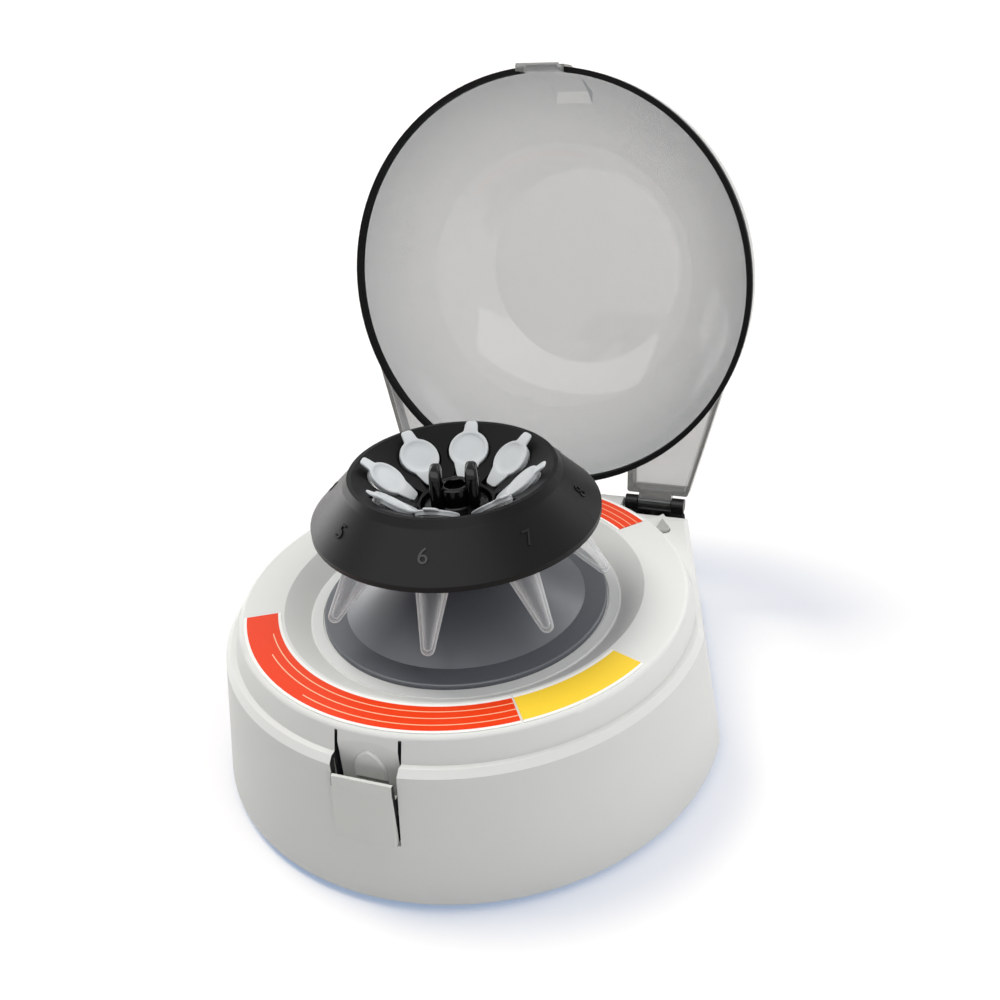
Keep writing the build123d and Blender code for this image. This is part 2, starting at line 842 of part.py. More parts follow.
def motor_can():
    """Deep-drawn steel can, closed at the top round the upper bearing."""
    boss_radius = bearing_outer_radius + 1.5
    boss_top = motor_top_z + bearing_height - motor_top_wall
    return turned(
        [(motor_radius - motor_wall, motor_bottom_z), (motor_radius, motor_bottom_z),
         (motor_radius, motor_top_z), (boss_radius, motor_top_z), (boss_radius, boss_top),
         (bearing_outer_radius, boss_top), (bearing_outer_radius, motor_top_z - motor_top_wall),
         (motor_radius - motor_wall, motor_top_z - motor_top_wall)]
    )


def bearing(bottom):
    """A plain sintered bush round the motor shaft."""
    bore = shaft_radius + bearing_gap
    ring = disc(bearing_outer_radius, bottom, bearing_height) - disc(bore, bottom, bearing_height)
    return ring


def motor_end_cap():
    """Moulded end cap under the can with the lower bearing's cup and two terminal slots."""
    bottom = motor_bottom_z - end_cap_height
    body = disc(motor_radius, bottom, end_cap_height)
    body = body + disc(bearing_outer_radius + 1.5, bottom - 1.5, 1.5)
    body = body - disc(bearing_outer_radius, motor_bottom_z - bearing_height, bearing_height)
    wide, thick, long = terminal_size
    for x in (-terminal_x, terminal_x):
        body = body + block(x - wide / 2, x + wide / 2, -thick / 2, thick / 2, bottom - long, bottom)
    return body


def ring_arc(inner, outer, bottom, height, middle, span):
    """Part of a ring about the drum's axis."""
    ring = disc(outer, bottom, height) - disc(inner, bottom, height)
    reach = 3 * outer
    points = [(0, 0)]
    for share in (-0.5, -0.17, 0.17, 0.5):
        angle = math.radians(middle + span * share)
        points.append((reach * math.cos(angle), reach * math.sin(angle)))
    wedge = Pos(0, 0, bottom - 1) * extrude(make_face(Polyline(*points, close=True)), height + 2)
    return ring & wedge


def motor_magnets():
    """Two curved magnets inside the can."""
    outer = motor_radius - motor_wall
    arcs = [
        ring_arc(outer - magnet_thickness, outer, magnet_bottom_z, magnet_height, middle, magnet_span)
        for middle in (0, 180)
    ]
    return Compound(children=arcs)


def armature():
    """Slotted iron stack with its windings, on the shaft."""
    radius = motor_radius - motor_wall - magnet_thickness - armature_gap
    bottom = magnet_bottom_z + (magnet_height - armature_height) / 2
    body = disc(radius, bottom, armature_height)
    for index in range(armature_slots):
        slot = block(
            radius * 0.55, radius + 1, -armature_slot_width / 2, armature_slot_width / 2,
            bottom, bottom + armature_height,
        )
        body = body - Rot(0, 0, 360 / armature_slots * index) * slot
    body = body + disc(radius * 0.8, bottom - winding_height, armature_height + 2 * winding_height)
    return body - disc(shaft_radius, bottom - 2 * winding_height, armature_height + 4 * winding_height)


def commutator():
    """Copper commutator below the armature."""
    bottom = motor_bottom_z + 1.0
    ring = disc(commutator_radius, bottom, commutator_height)
    for index in range(armature_slots):
        cut = block(
            commutator_radius - 0.5, commutator_radius + 1, -0.2, 0.2, bottom, bottom + commutator_height
        )
        ring = ring - Rot(0, 0, 360 / armature_slots * (index + 0.5)) * cut
    return ring - disc(shaft_radius, bottom - 1, commutator_height + 2)


def motor_brushes():
    """Two carbon brushes beside the commutator."""
    bottom = motor_bottom_z + 2.0
    reach = commutator_radius + 0.1
    brushes = []
    for side in (-1, 1):
        brush = block(
            reach, reach + brush_length, -brush_width / 2, brush_width / 2, bottom, bottom + brush_width
        )
        brush = brush - disc(reach, bottom - 1, brush_width + 2)
        brushes.append(brush if side > 0 else mirror(brush, Plane.YZ))
    return Compound(children=brushes)


def motor_shaft():
    """Steel shaft from the lower bearing up into the rotor seat."""
    bottom = motor_bottom_z - bearing_height + 0.2
    top = seat_z + seat_thickness + spigot_height
    body = disc(shaft_radius, bottom, top - bottom)
    return chamfer(body.edges().group_by(Axis.Z)[0], 0.4)


def damper_spots():
    """The places of the three dampers round the motor."""
    spots = []
    for index in range(damper_count):
        angle = math.radians(damper_turn + 360 / damper_count * index)
        spots.append((damper_circle * math.cos(angle), damper_circle * math.sin(angle)))
    return spots


def motor_bracket():
    """Cup over the motor with a flange that hangs on the dampers."""
    inner = motor_radius + bracket_gap
    boss = bearing_outer_radius + 1.5 + bracket_gap
    body = turned(
        [(boss, motor_top_z), (inner, motor_top_z), (inner, bracket_flange_z - bracket_flange_thickness),
         (bracket_flange_radius, bracket_flange_z - bracket_flange_thickness),
         (bracket_flange_radius, bracket_flange_z), (inner + bracket_wall, bracket_flange_z),
         (inner + bracket_wall, bracket_top_z), (boss, bracket_top_z)]
    )
    for x, y in damper_spots():
        body = body - peg(
            screw_radius + screw_gap, x, y, bracket_flange_z - 2 * bracket_flange_thickness,
            3 * bracket_flange_thickness,
        )
    return body


def vibration_dampers():
    """Rubber dampers between the bracket's flange and the liner."""
    dampers = []
    for x, y in damper_spots():
        damper = peg(damper_radius, x, y, bracket_flange_z, damper_height)
        dampers.append(damper - peg(screw_radius + screw_gap, x, y, bracket_flange_z, damper_height))
    return Compound(children=dampers)


def motor_screws():
    """Screws up through the bracket's flange and the dampers."""
    head_z = bracket_flange_z - bracket_flange_thickness - screw_head_height
    length = bracket_flange_thickness + damper_height + motor_screw_bite
    screws = [
        screw(x, y, head_z, length, screw_radius, screw_head_radius) for x, y in damper_spots()
    ]
    return Compound(children=screws)


def tube_place(index):
    """The place of a tube: local +Z runs out of the cap's top, local -X towards the hub."""
    turn = tube_start + 360 / tube_count * index - 90
    return Rot(0, 0, turn) * Pos(cap_radius_from_axis, 0, cap_top_z) * Rot(0, -tube_tilt, 0)


def tube(index):
    """A closed 1.5 ml micro tube with its flip cap, strap and thumb tab."""
    neck = cap_thickness + collar_thickness
    body = turned(
        [(0, 0), (cap_radius, 0), (cap_radius, -cap_thickness), (collar_radius, -cap_thickness),
         (collar_radius, -neck), (tube_radius, -neck), (tube_radius, -tube_straight),
         (tube_tip_radius, -tube_length + tube_tip_radius * 0.6), (tube_tip_radius * 0.6, -tube_length),
         (0, -tube_length)]
    )
    bore = tube_radius - tube_wall
    hollow = turned(
        [(0, -cap_thickness), (bore, -cap_thickness), (bore, -tube_straight),
         (tube_tip_radius - tube_wall, -tube_length + 1.25 * tube_floor), (0, -tube_length + tube_floor)]
    )
    thumb = block(0, cap_radius + tab_length, -tab_width / 2, tab_width / 2, -strap_thickness, 0)
    thumb = fillet(thumb.edges().filter_by(Axis.Z).group_by(Axis.X)[-1], tab_width * 0.3)
    taper = make_face(
        Polyline(
            (0, -cap_radius * 0.9), (0, cap_radius * 0.9), (-cap_radius - strap_length, strap_width / 2),
            (-cap_radius - strap_length, -strap_width / 2), close=True,
        )
    )
    strap = Pos(0, 0, -strap_thickness) * extrude(taper, strap_thickness)
    return tube_place(index) * (body + thumb + strap - hollow)


def rotor_body():
    """Angle rotor: outer skirt, lip, dish with eight recessed seats, and hub."""
    rim_bottom = rotor_rim_z - rotor_rim_height
    lip_outer = rotor_lip_radius + rotor_lip_width
    shoulder_z = rotor_lip_z - rotor_shoulder
    face_slope = math.tan(math.radians(rotor_face_angle))
    shoulder_radius = rotor_rim_radius - (shoulder_z - rotor_rim_z) / face_slope
    skirt_radius = rotor_rim_radius - rotor_skin / math.sin(math.radians(rotor_face_angle))
    under = dish_thickness + hub_recess
    rise = rotor_rim_z + skirt_radius * face_slope - (dish_foot_z - under - hub_radius * dish_slope)
    inner_top_radius = rise / (face_slope + dish_slope)
    inner_top_z = rotor_rim_z + (skirt_radius - inner_top_radius) * face_slope
    body = turned(
        [(rotor_rim_radius, rim_bottom), (rotor_rim_radius, rotor_rim_z), (shoulder_radius, shoulder_z),
         (lip_outer, rotor_lip_z), (rotor_lip_radius, rotor_lip_z), (hub_radius, dish_foot_z),
         (hub_radius, dish_hub_z), (insert_radius, dish_hub_z), (insert_radius, hub_bottom_z),
         (hub_radius, hub_bottom_z), (hub_radius, dish_foot_z - under), (inner_top_radius, inner_top_z),
         (skirt_radius, rotor_rim_z), (skirt_radius, rim_bottom)]
    )
    soft = body.edges().filter_by(GeomType.CIRCLE).filter_by(
        lambda e: abs(e.center().Z - shoulder_z) < 0.05 and e.radius > lip_outer
    )
    body = fillet(soft, 1.6)
    neck = cap_thickness + collar_thickness
    for index in range(tube_count):
        place = tube_place(index)
        hole = Cylinder(tube_radius + tube_hole_gap, 2 * tube_length)
        seat = Pos(0, 0, -neck) * Cylinder(
            cap_radius + seat_side_gap, 2 * neck, align=(Align.CENTER, Align.CENTER, Align.MIN)
        )
        relief = Pos(-cap_radius - strap_length / 2, 0, -2 * strap_thickness) * Box(
            strap_length + 2 * strap_end_gap, strap_width + 2 * strap_side_gap, 2 * neck,
            align=(Align.CENTER, Align.CENTER, Align.MIN),
        )
        body = body - place * hole - place * seat - place * relief
    return body


def rotor_hub_insert():
    """Aluminium sleeve in the rotor's hub."""
    bore = spigot_radius + spigot_gap
    height = dish_hub_z - hub_bottom_z
    return disc(insert_radius, hub_bottom_z, height) - disc(bore, hub_bottom_z, height)


def rotor_seat():
    """Flange, spigot and threaded stud on the shaft's end that carry the rotor."""
    spigot_top = hub_bottom_z + spigot_height
    body = disc(seat_radius, seat_z, seat_thickness) + disc(spigot_radius, hub_bottom_z, spigot_height)
    body = body + disc(stud_radius, spigot_top, stud_height)
    body = chamfer(body.edges().group_by(Axis.Z)[-1], 0.5)
    return body - disc(shaft_radius, seat_z - 1, seat_thickness + 1 + spigot_height)


def rotor_nut():
    """Winged nut: round base, core and two upright fins, with a bore for the stud."""
    base_z = dish_hub_z + nut_gap
    body = disc(nut_base_radius, base_z, nut_base_height)
    body = fillet(body.edges().group_by(Axis.Z)[-1], 1.0)
    body = body + disc(nut_core_radius, base_z, nut_core_height)
    fin_from = nut_fin_offset - nut_fin_thickness / 2
    half = nut_fin_length / 2
    profile = make_face(
        Plane.YZ * Polyline(
            (-half, base_z), (half, base_z), (half * 0.85, base_z + nut_fin_height * 0.75),
            (half * 0.45, base_z + nut_fin_height), (-half * 0.45, base_z + nut_fin_height),
            (-half * 0.85, base_z + nut_fin_height * 0.75), close=True,
        )
    )
    fin = Pos(fin_from, 0, 0) * extrude(profile, nut_fin_thickness)
    fin = fillet(fin.edges().filter_by(Axis.X), nut_fin_round)
    body = body + both_sides(fin)
    bore = stud_radius + spigot_gap
    spigot_room = hub_bottom_z + spigot_height + 0.3
    body = body - disc(bore, base_z - 1, nut_core_height)
    if spigot_room > base_z:
        body = body - disc(spigot_radius + 0.3, base_z - 1, spigot_room - base_z + 1)
    return Rot(0, 0, nut_turn) * body


def lid_rim_z():
    """The height of the shut lid's lower edge."""
    return shelf_z + lid_gap


def dome(radius, flat_radius, top_z, bow):
    """A solid dome: straight band, then one bowed arc up to the flat top."""
    bottom = lid_rim_z()
    band_top = bottom + lid_band_height
    start = Vector(radius, band_top)
    stop = Vector(flat_radius, top_z)
    middle = (start + stop) * 0.5
    span = stop - start
    sag = bow - math.sqrt(max(bow ** 2 - (span.length / 2) ** 2, 0.0))
    normal = Vector(-span.Y, span.X).normalized() * -1
    crown = middle + normal * sag
    curve = Polyline((0, bottom), (radius, bottom), (radius, band_top))
    curve = curve + ThreePointArc((start.X, start.Y), (crown.X, crown.Y), (stop.X, stop.Y))
    curve = curve + Polyline((flat_radius, top_z), (0, top_z), (0, bottom))
    return revolve(make_face(Plane.XZ * curve), Axis.Z, 360)


def ear_side_x(y, inset):
    """The X of the right ear's leaning side at y, drawn in by inset."""
    return lid_outer_radius + ear_side_step - inset / math.cos(lean) - y * math.tan(lean)


def ear_outline(inset, end_y):
    """The right ear's plan between the dome and the hinge, drawn in by inset."""
    start_y = lid_outer_radius * 0.2
    points = [
        (ear_inner_x + inset, lid_outer_radius * 0.5), (ear_side_x(start_y, inset), start_y),
        (ear_side_x(end_y - inset, inset), end_y - inset), (ear_inner_x + inset, end_y - inset),
    ]
    return make_face(Polyline(*points, close=True))


def lid_shut():
    """The clear lid with its hollow ears and hinge knuckles, in its shut place."""
    bottom = lid_rim_z()
    top = bottom + lid_height
    outer = dome(lid_outer_radius, lid_flat_radius, top, lid_bow)
    inner = dome(lid_outer_radius - lid_wall, lid_flat_radius - 0.8, top - lid_wall, lid_bow - lid_wall)
    end_y = hinge_y - knuckle_radius - ear_end_gap
    ear = Pos(0, 0, bottom) * extrude(ear_outline(0, end_y), ear_height)
    ear = fillet(ear.edges().filter_by(Axis.Z).sort_by(Axis.Y)[-2:], 1.0)
    hollow = Pos(0, 0, bottom) * extrude(ear_outline(ear_wall, end_y), ear_height - ear_wall)
    knuckle = cross_rod(knuckle_radius, knuckle_from(), knuckle_to(), hinge_y, hinge_z)
    web = block(
        knuckle_from(), knuckle_to(), end_y - ear_wall, hinge_y, hinge_z - knuckle_radius * 0.3, bottom + 1.6
    )
    ears = both_sides(ear + knuckle + web - hollow)
    body = outer + ears
    body = body - inner
    seal_room = disc(lid_outer_radius, bottom, seal_height) - disc(
        lid_outer_radius - seal_width, bottom, seal_height
    )
    body = body - seal_room
    bore = pin_running_gap + hinge_pin_radius
    body = body - both_sides(cross_rod(bore, ear_inner_x - 5, drum_radius, hinge_y, hinge_z))
    return body + (grip_pad() - inner)


def grip_pad():
    """The raised pad up the front of the dome, where the lid is gripped."""
    foot = lid_rim_z() + seal_height
    top = lid_rim_z() + pad_rise
    front = -lid_outer_radius - pad_proud
    back = -lid_outer_radius + 2 * pad_top_inset
    return side_prism(
        [(back, foot), (front, foot), (front, foot + pad_straight), (front + pad_top_inset, top),
         (back, top)],
        pad_width / 2,
    )


def knuckle_from():
    """The inner end of the lid's right knuckle."""
    return ear_inner_x + lug_width + lug_gap


def knuckle_to():
    """The outer end of the lid's right knuckle."""
    return ear_side_x(hinge_y, 0) - lug_width - lug_gap


def swing_open(piece):
    """Swing a piece of the shut lid about the hinge to its rest place."""
    moved = Pos(0, -hinge_y, -hinge_z) * piece
    return Pos(0, hinge_y, hinge_z) * Rot(-lid_open_angle, 0, 0) * moved


def lid_rim_seal():
    """Black rubber ring under the lid's edge, cut away for the catch."""
    bottom = lid_rim_z()
    ring = disc(lid_outer_radius, bottom, seal_height)
    ring = ring - disc(lid_outer_radius - seal_width, bottom, seal_height)
    notch = catch_plate(0.2)
    return ring - notch - Pos(0, -catch_thickness, 0) * notch


def catch_plate(grow):
    """The catch's upright plate under the lid's edge."""
    half = catch_width / 2 + grow
    back = -lid_outer_radius + 2.0 + grow
    front = back - catch_thickness - 2 * grow
    return block(-half, half, front, back, lid_rim_z() - catch_drop - grow, lid_rim_z() + seal_height)


def lid_catch():
    """Hooked tab that drops into the latch slot when the lid is shut."""
    plate = catch_plate(0)
    front = -lid_outer_radius + 2.0 - catch_thickness
    low = lid_rim_z() - catch_drop
    hook = side_prism(
        [(front, low), (front - catch_hook, low + 0.5), (front - catch_hook, low + 1.3), (front, low + 2.4)],
        catch_width / 2,
    )
    return plate + hook


def hinge_pin():
    """Right hinge pin through the block's lugs and the lid's knuckle."""
    return cross_rod(
        hinge_pin_radius, ear_inner_x + block_gap, ear_side_x(hinge_y, 0) - block_gap, hinge_y, hinge_z
    )


def hinge_screw_spots():
    """The four screws that hold the hinge blocks."""
    y = pocket_front_y + 3.6
    spots = []
    for x in (ear_inner_x + 7.5, side_x(y, 0) - 9.0):
        spots.append((x, y))
        spots.append((-x, y))
    return spots


def hinge_block():
    """Right hinge block in its pocket with two lugs that hold the pin."""
    x_from = ear_inner_x
    x_to = ear_side_x(hinge_y, 0)
    low = pocket_floor_z
    top = low + block_height
    seat = block(x_from, drum_radius, pocket_front_y + block_gap, rear_edge + drum_flare, low, top)
    bounds = upright(ear_inset, low, top)
    seat = seat & bounds
    lugs = None
    for start in (x_from, x_to - lug_width):
        stop = start + lug_width
        lug = block(start, stop, hinge_y - knuckle_radius, hinge_y + knuckle_radius, low + 0.5, hinge_z)
        lug = lug & upright(ear_inset * 0.5, low, hinge_z)
        lug = lug + cross_rod(knuckle_radius, start, stop, hinge_y, hinge_z)
        lugs = lug if lugs is None else lugs + lug
    body = seat + lugs
    trough = cross_rod(knuckle_radius + 0.5, knuckle_from() - 0.2, knuckle_to() + 0.2, hinge_y, hinge_z)
    body = body - trough
    body = body - cross_rod(hinge_pin_radius, x_from + block_gap, x_to - block_gap, hinge_y, hinge_z)
    for x, y in hinge_screw_spots():
        if x > 0:
            body = body - peg(screw_radius, x, y, low, block_height)
            body = body - peg(screw_head_radius, x, y, top - screw_head_height, screw_head_height)
    return body


def hinge_screws():
    """Four screws down through the hinge blocks."""
    screws = []
    top = pocket_floor_z + block_height
    for x, y in hinge_screw_spots():
        length = block_height - screw_head_height + pocket_wall
        upside = screw(0, 0, 0, length, screw_radius, screw_head_radius)
        screws.append(Pos(x, y, top) * Rot(180, 0, 0) * upside)
    return Compound(children=screws)


def latch_button():
    """Latch flap: proud curved face, bevelled lip, nose and pivot bore."""
    half = slot_half_width - latch_side_gap
    bottom = slot_bottom_z + latch_bottom_gap
    face = drum(-latch_proud)
    body = block(-half, half, -drum_radius - 3 * drum_flare, latch_back_y, bottom, latch_nose_z) & face
    lip_front = -drum_radius - latch_proud
    lip_flare = drum_flare * latch_face_drop / (seam_z - plate_z)
    lip = side_prism(
        [(lip_front - drum_flare, latch_face_top_z), (lip_front - lip_flare, latch_face_top_z),
         (latch_nose_back_y - 0.9, latch_nose_z), (latch_nose_back_y - 0.9, latch_nose_z + 5),
         (lip_front - drum_flare, latch_nose_z + 5)],
        half + 1,
    )
    body = body - lip
    room = block(
        -half - 1, half + 1, latch_nose_back_y, latch_back_y + 1,
        latch_pivot_z + latch_room_rise, latch_nose_z + 1,
    )
    body = body - room
    body = body + (
        cross_rod(latch_barrel, -half, half, latch_pivot_y, latch_pivot_z)
        & block(-half, half, latch_pivot_y - 1, latch_pivot_y + 4, latch_pivot_z - 4, latch_pivot_z + 4)
    )
    body = body - cross_rod(
        latch_pin_radius + pin_running_gap, -half - 1, half + 1, latch_pivot_y, latch_pivot_z
    )
    return body


def latch_pivot_pin():
    """Steel pin that the latch flap turns on."""
    reach = slot_half_width + latch_pin_overhang
    return cross_rod(latch_pin_radius, -reach, reach, latch_pivot_y, latch_pivot_z)


def latch_spring():
    """Small coil spring that pushes the flap's lower end outwards."""
    length = slot_back_y - latch_back_y - 2 * latch_spring_wire - 0.1
    spring = coil(latch_spring_radius, latch_spring_wire, length, 3, 0)
    return Pos(0, slot_back_y - latch_spring_wire - 0.05, latch_spring_z) * Rot(90, 0, 0) * spring


def switch_frame():
    """Snap-in frame of the rocker switch, in the rear panel."""
    wide, high = rocker_frame_size
    lip = Pos(0, rocker_frame_lip / 2, 0) * Box(wide, rocker_frame_lip, high)
    lip = fillet(lip.edges().filter_by(Axis.Y), 1.2)
    depth = rocker_frame_depth
    sleeve = Pos(0, -depth / 2, 0) * Box(wide - 3.2, depth, high - 3.2)
    body = lip + sleeve
    window = Pos(0, -depth / 2 + 3, 0) * Box(
        wide - 3.2 - 2 * rocker_frame_wall, depth, high - 3.2 - 2 * rocker_frame_wall
    )
    body = body - window
    for x in (-5.0, 0.0, 5.0):
        body = body + Pos(x, -depth - 3.0, 0) * Box(0.8, 6.0, 4.8)
    sockets = wide / 2 - 1.6 - rocker_frame_wall + rocker_peg_reach
    body = body - cross_rod(rocker_peg_radius + rocker_peg_gap, -sockets, sockets, 0, 0)
    return on_rear_face(rocker_x, rear_panel_z) * body


def rocker_local():
    """The rocker with its pivot pegs, in its frame's own axes, at mid tilt, its face a shallow V."""
    wide, high = rocker_frame_size
    half_width = (wide - 3.2 - 2 * rocker_frame_wall) / 2 - rocker_gap
    half_height = (high - 3.2 - 2 * rocker_frame_wall) / 2 - rocker_gap
    rise = math.tan(math.radians(rocker_tilt)) * half_height
    front = rocker_frame_lip
    points = [
        (-rocker_depth + 3.0, -half_height * 0.5), (front + rise * 0.6, -half_height + 0.5),
        (front + 0.1, 0), (front + rise * 0.6, half_height - 0.5), (-rocker_depth + 3.0, half_height * 0.5),
    ]
    pegs = half_width + rocker_peg_reach
    return side_prism(points, half_width) + cross_rod(rocker_peg_radius, -pegs, pegs, 0, 0)


def rocker():
    """Power rocker, resting tilted to off."""
    turn = Rot(-rocker_tilt, 0, 0)
    return on_rear_face(rocker_x, rear_panel_z) * turn * rocker_local()


def power_inlet():
    """Round power inlet with its centre pin, in the rear panel."""
    wide, high, deep = inlet_size
    body = Pos(0, -deep / 2 + inlet_lip, 0) * Box(wide, deep, high)
    bore = Pos(0, inlet_lip - inlet_bore_depth / 2, 0) * Rot(90, 0, 0) * Cylinder(
        inlet_bore_radius, inlet_bore_depth
    )
    pin_length = inlet_bore_depth - 1.5
    pin = Pos(0, inlet_lip - inlet_bore_depth + pin_length / 2, 0) * Rot(90, 0, 0) * Cylinder(
        inlet_pin_radius, pin_length
    )
    return on_rear_face(inlet_x, rear_panel_z) * (body - bore + pin)


def board_spots():
    """The circuit board's four screw places."""
    x = board_size[0] / 2 - board_post_inset
    y = board_size[1] / 2 - board_post_inset
    return [(sx * x, board_center_y + sy * y) for sx in (-1, 1) for sy in (-1, 1)]


def circuit_board():
    """Control board on the bottom plate's posts."""
    wide, deep, thick = board_size
    half_wide = wide / 2
    half_deep = deep / 2
    body = block(
        -half_wide, half_wide, board_center_y - half_deep, board_center_y + half_deep,
        board_z, board_z + thick,
    )
    for x, y in board_spots():
        body = body - peg(board_screw_radius + screw_gap, x, y, board_z, thick)
    return body


def board_parts():
    """Capacitors, relay, regulator and connector on the board."""
    top = board_z + board_size[2]
    y = board_center_y
    x_small = capacitor_x + capacitor_pitch[0]
    parts = [peg(main_capacitor[0], capacitor_x, y, top, main_capacitor[1])]
    for side in (-0.5, 0.5):
        parts.append(peg(small_capacitor[0], x_small, y + side * capacitor_pitch[1], top, small_capacitor[1]))
    boxes = ((relay_x, 0, relay_size), (connector_x, connector_y, connector_size))
    for x, shift, (wide, deep, high) in boxes:
        parts.append(
            block(x - wide / 2, x + wide / 2, y + shift - deep / 2, y + shift + deep / 2, top, top + high)
        )
    return Compound(children=parts)


def board_screws():
    """Four small screws that hold the board."""
    top = board_z + board_size[2]
    screws = []
    for x, y in board_spots():
        upside = screw(0, 0, 0, board_size[2] + board_screw_bite, board_screw_radius, board_screw_head)
        screws.append(Pos(x, y, top + screw_head_height) * Rot(180, 0, 0) * upside)
    return Compound(children=screws)


def motor_leads():
    """Two insulated leads from the motor's terminals to the board."""
    z = motor_bottom_z - end_cap_height - terminal_size[2] / 2
    front = board_center_y - board_size[1] / 2
    board_middle_z = board_z + board_size[2] / 2
    leads = []
    for x in (-terminal_x, terminal_x):
        y_start = terminal_size[1] / 2 + lead_radius
        path = FilletPolyline(
            (x, y_start, z), (x, front - lead_reach, z), (x, front - lead_reach, board_middle_z),
            (x, front, board_middle_z), radius=lead_bend,
        )
        start = Plane(path @ 0, z_dir=path % 0)
        leads.append(sweep(start * Circle(lead_radius), path))
    return Compound(children=leads)


def pieces():
    """Every node's name with its solid."""
    right_block = hinge_block()
    right_pin = hinge_pin()
    named = {
        "base_shell": base_shell(),
        "top_cover": top_cover(),
        "bottom_plate": bottom_plate(),
        "rubber_feet": rubber_feet(),
        "housing_screws": housing_screws(),
        "bowl_liner": bowl_liner(),
        "bowl_seal_ring": bowl_seal_ring(),
        "front_band": band(front_band_angles),
        "side_band": band(side_band_angles),
        "rear_band": band(rear_band_angles),
        "right_hinge_block": right_block,
        "left_hinge_block": mirror(right_block, Plane.YZ),
        "right_hinge_pin": right_pin,
        "left_hinge_pin": mirror(right_pin, Plane.YZ),
        "hinge_screws": hinge_screws(),
        "latch_button": latch_button(),
        "latch_pivot_pin": latch_pivot_pin(),
        "latch_spring": latch_spring(),
        "lid_switch": lid_switch(),
        "lid_pin": lid_pin(),
        "lid_pin_spring": lid_pin_spring(),
        "motor_can": motor_can(),
        "motor_end_cap": motor_end_cap(),
        "motor_magnets": motor_magnets(),
        "motor_brushes": motor_brushes(),
        "upper_bearing": bearing(motor_top_z - motor_top_wall),
        "lower_bearing": bearing(motor_bottom_z - bearing_height),
        "motor_bracket": motor_bracket(),
        "vibration_dampers": vibration_dampers(),
        "motor_screws": motor_screws(),
        "circuit_board": circuit_board(),
        "board_parts": board_parts(),
        "board_screws": board_screws(),
        "motor_leads": motor_leads(),
        "power_inlet": power_inlet(),
        "switch_frame": switch_frame(),
        "rocker": rocker(),
        "lid_dome": swing_open(lid_shut()),
        "lid_rim_seal": swing_open(lid_rim_seal()),
        "lid_catch": swing_open(lid_catch()),
        "rotor_body": rotor_body(),
        "rotor_hub_insert": rotor_hub_insert(),
        "rotor_seat": rotor_seat(),
        "motor_shaft": motor_shaft(),
        "armature": armature(),
        "commutator": commutator(),
        "rotor_nut": rotor_nut(),
    }
    for index in range(tube_count):
        named[f"tube_{index + 1}"] = tube(index)
    return named


os.makedirs("parts", exist_ok=True)
for name, solid in pieces().items():
    export_step(solid, f"parts/{name}.step")
    print(name, round(solid.volume, 1))
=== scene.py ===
"""A round mini centrifuge with its clear lid open, dressed over its solids.

Lengths in the classes are millimetres, in the part's own frame: the origin is where the drum's
axis meets the bench, +Z is up and the front latch is at -Y. Meshes are written in metres.
"""

import json
import logging
import math
from dataclasses import dataclass, field
from enum import Enum

import bmesh
import bpy
import numpy as np
from mathutils import Matrix, Vector

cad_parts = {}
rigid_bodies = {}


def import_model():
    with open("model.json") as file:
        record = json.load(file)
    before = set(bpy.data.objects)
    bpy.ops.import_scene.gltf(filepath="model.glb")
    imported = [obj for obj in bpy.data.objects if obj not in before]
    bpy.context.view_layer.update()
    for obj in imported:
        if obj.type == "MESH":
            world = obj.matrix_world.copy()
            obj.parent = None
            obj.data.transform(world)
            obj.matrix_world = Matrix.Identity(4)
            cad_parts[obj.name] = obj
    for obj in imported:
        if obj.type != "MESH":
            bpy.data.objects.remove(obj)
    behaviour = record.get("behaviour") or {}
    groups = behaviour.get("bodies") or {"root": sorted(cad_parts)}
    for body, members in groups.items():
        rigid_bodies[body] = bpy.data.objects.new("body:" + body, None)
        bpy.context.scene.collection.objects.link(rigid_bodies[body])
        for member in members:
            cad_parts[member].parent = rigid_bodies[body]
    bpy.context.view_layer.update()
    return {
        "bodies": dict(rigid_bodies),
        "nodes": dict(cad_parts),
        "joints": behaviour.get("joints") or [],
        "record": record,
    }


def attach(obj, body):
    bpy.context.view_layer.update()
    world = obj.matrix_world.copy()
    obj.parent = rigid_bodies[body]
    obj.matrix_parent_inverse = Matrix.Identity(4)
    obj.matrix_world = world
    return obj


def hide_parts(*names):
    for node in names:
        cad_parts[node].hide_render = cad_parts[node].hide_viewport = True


LOG = logging.getLogger("mini_centrifuge")
MM = 0.001
CRISP_EDGE = 38.0  # degrees between faces, over which an edge isn't shaded smooth


def linear(code: str) -> tuple[float, float, float, float]:
    """Turns an sRGB hex colour into linear light.

    Args:
        code: six hex digits after a hash sign.

    Returns:
        Red, green, blue and an alpha of 1.
    """
    part = np.array([int(code[i : i + 2], 16) for i in (1, 3, 5)]) / 255.0
    light = np.where(part <= 0.04045, part / 12.92, ((part + 0.055) / 1.055) ** 2.4)
    return (float(light[0]), float(light[1]), float(light[2]), 1.0)


def add_node(
    tree: bpy.types.NodeTree, kind: str, settings: dict | None = None, links: dict | None = None
) -> bpy.types.Node:
    """Adds one shader node with its settings and links.

    Args:
        tree: the material's or the world's node tree.
        kind: the node's type name.
        settings: values by input name, input number or property name.
        links: output sockets by input name or number.

    Returns:
        The new node.
    """
    node = tree.nodes.new(kind)
    for name, value in (settings or {}).items():
        if isinstance(name, int) or name in node.inputs:
            node.inputs[name].default_value = value
        else:
            setattr(node, name, value)
    for name, source in (links or {}).items():
        tree.links.new(source, node.inputs[name])
    return node


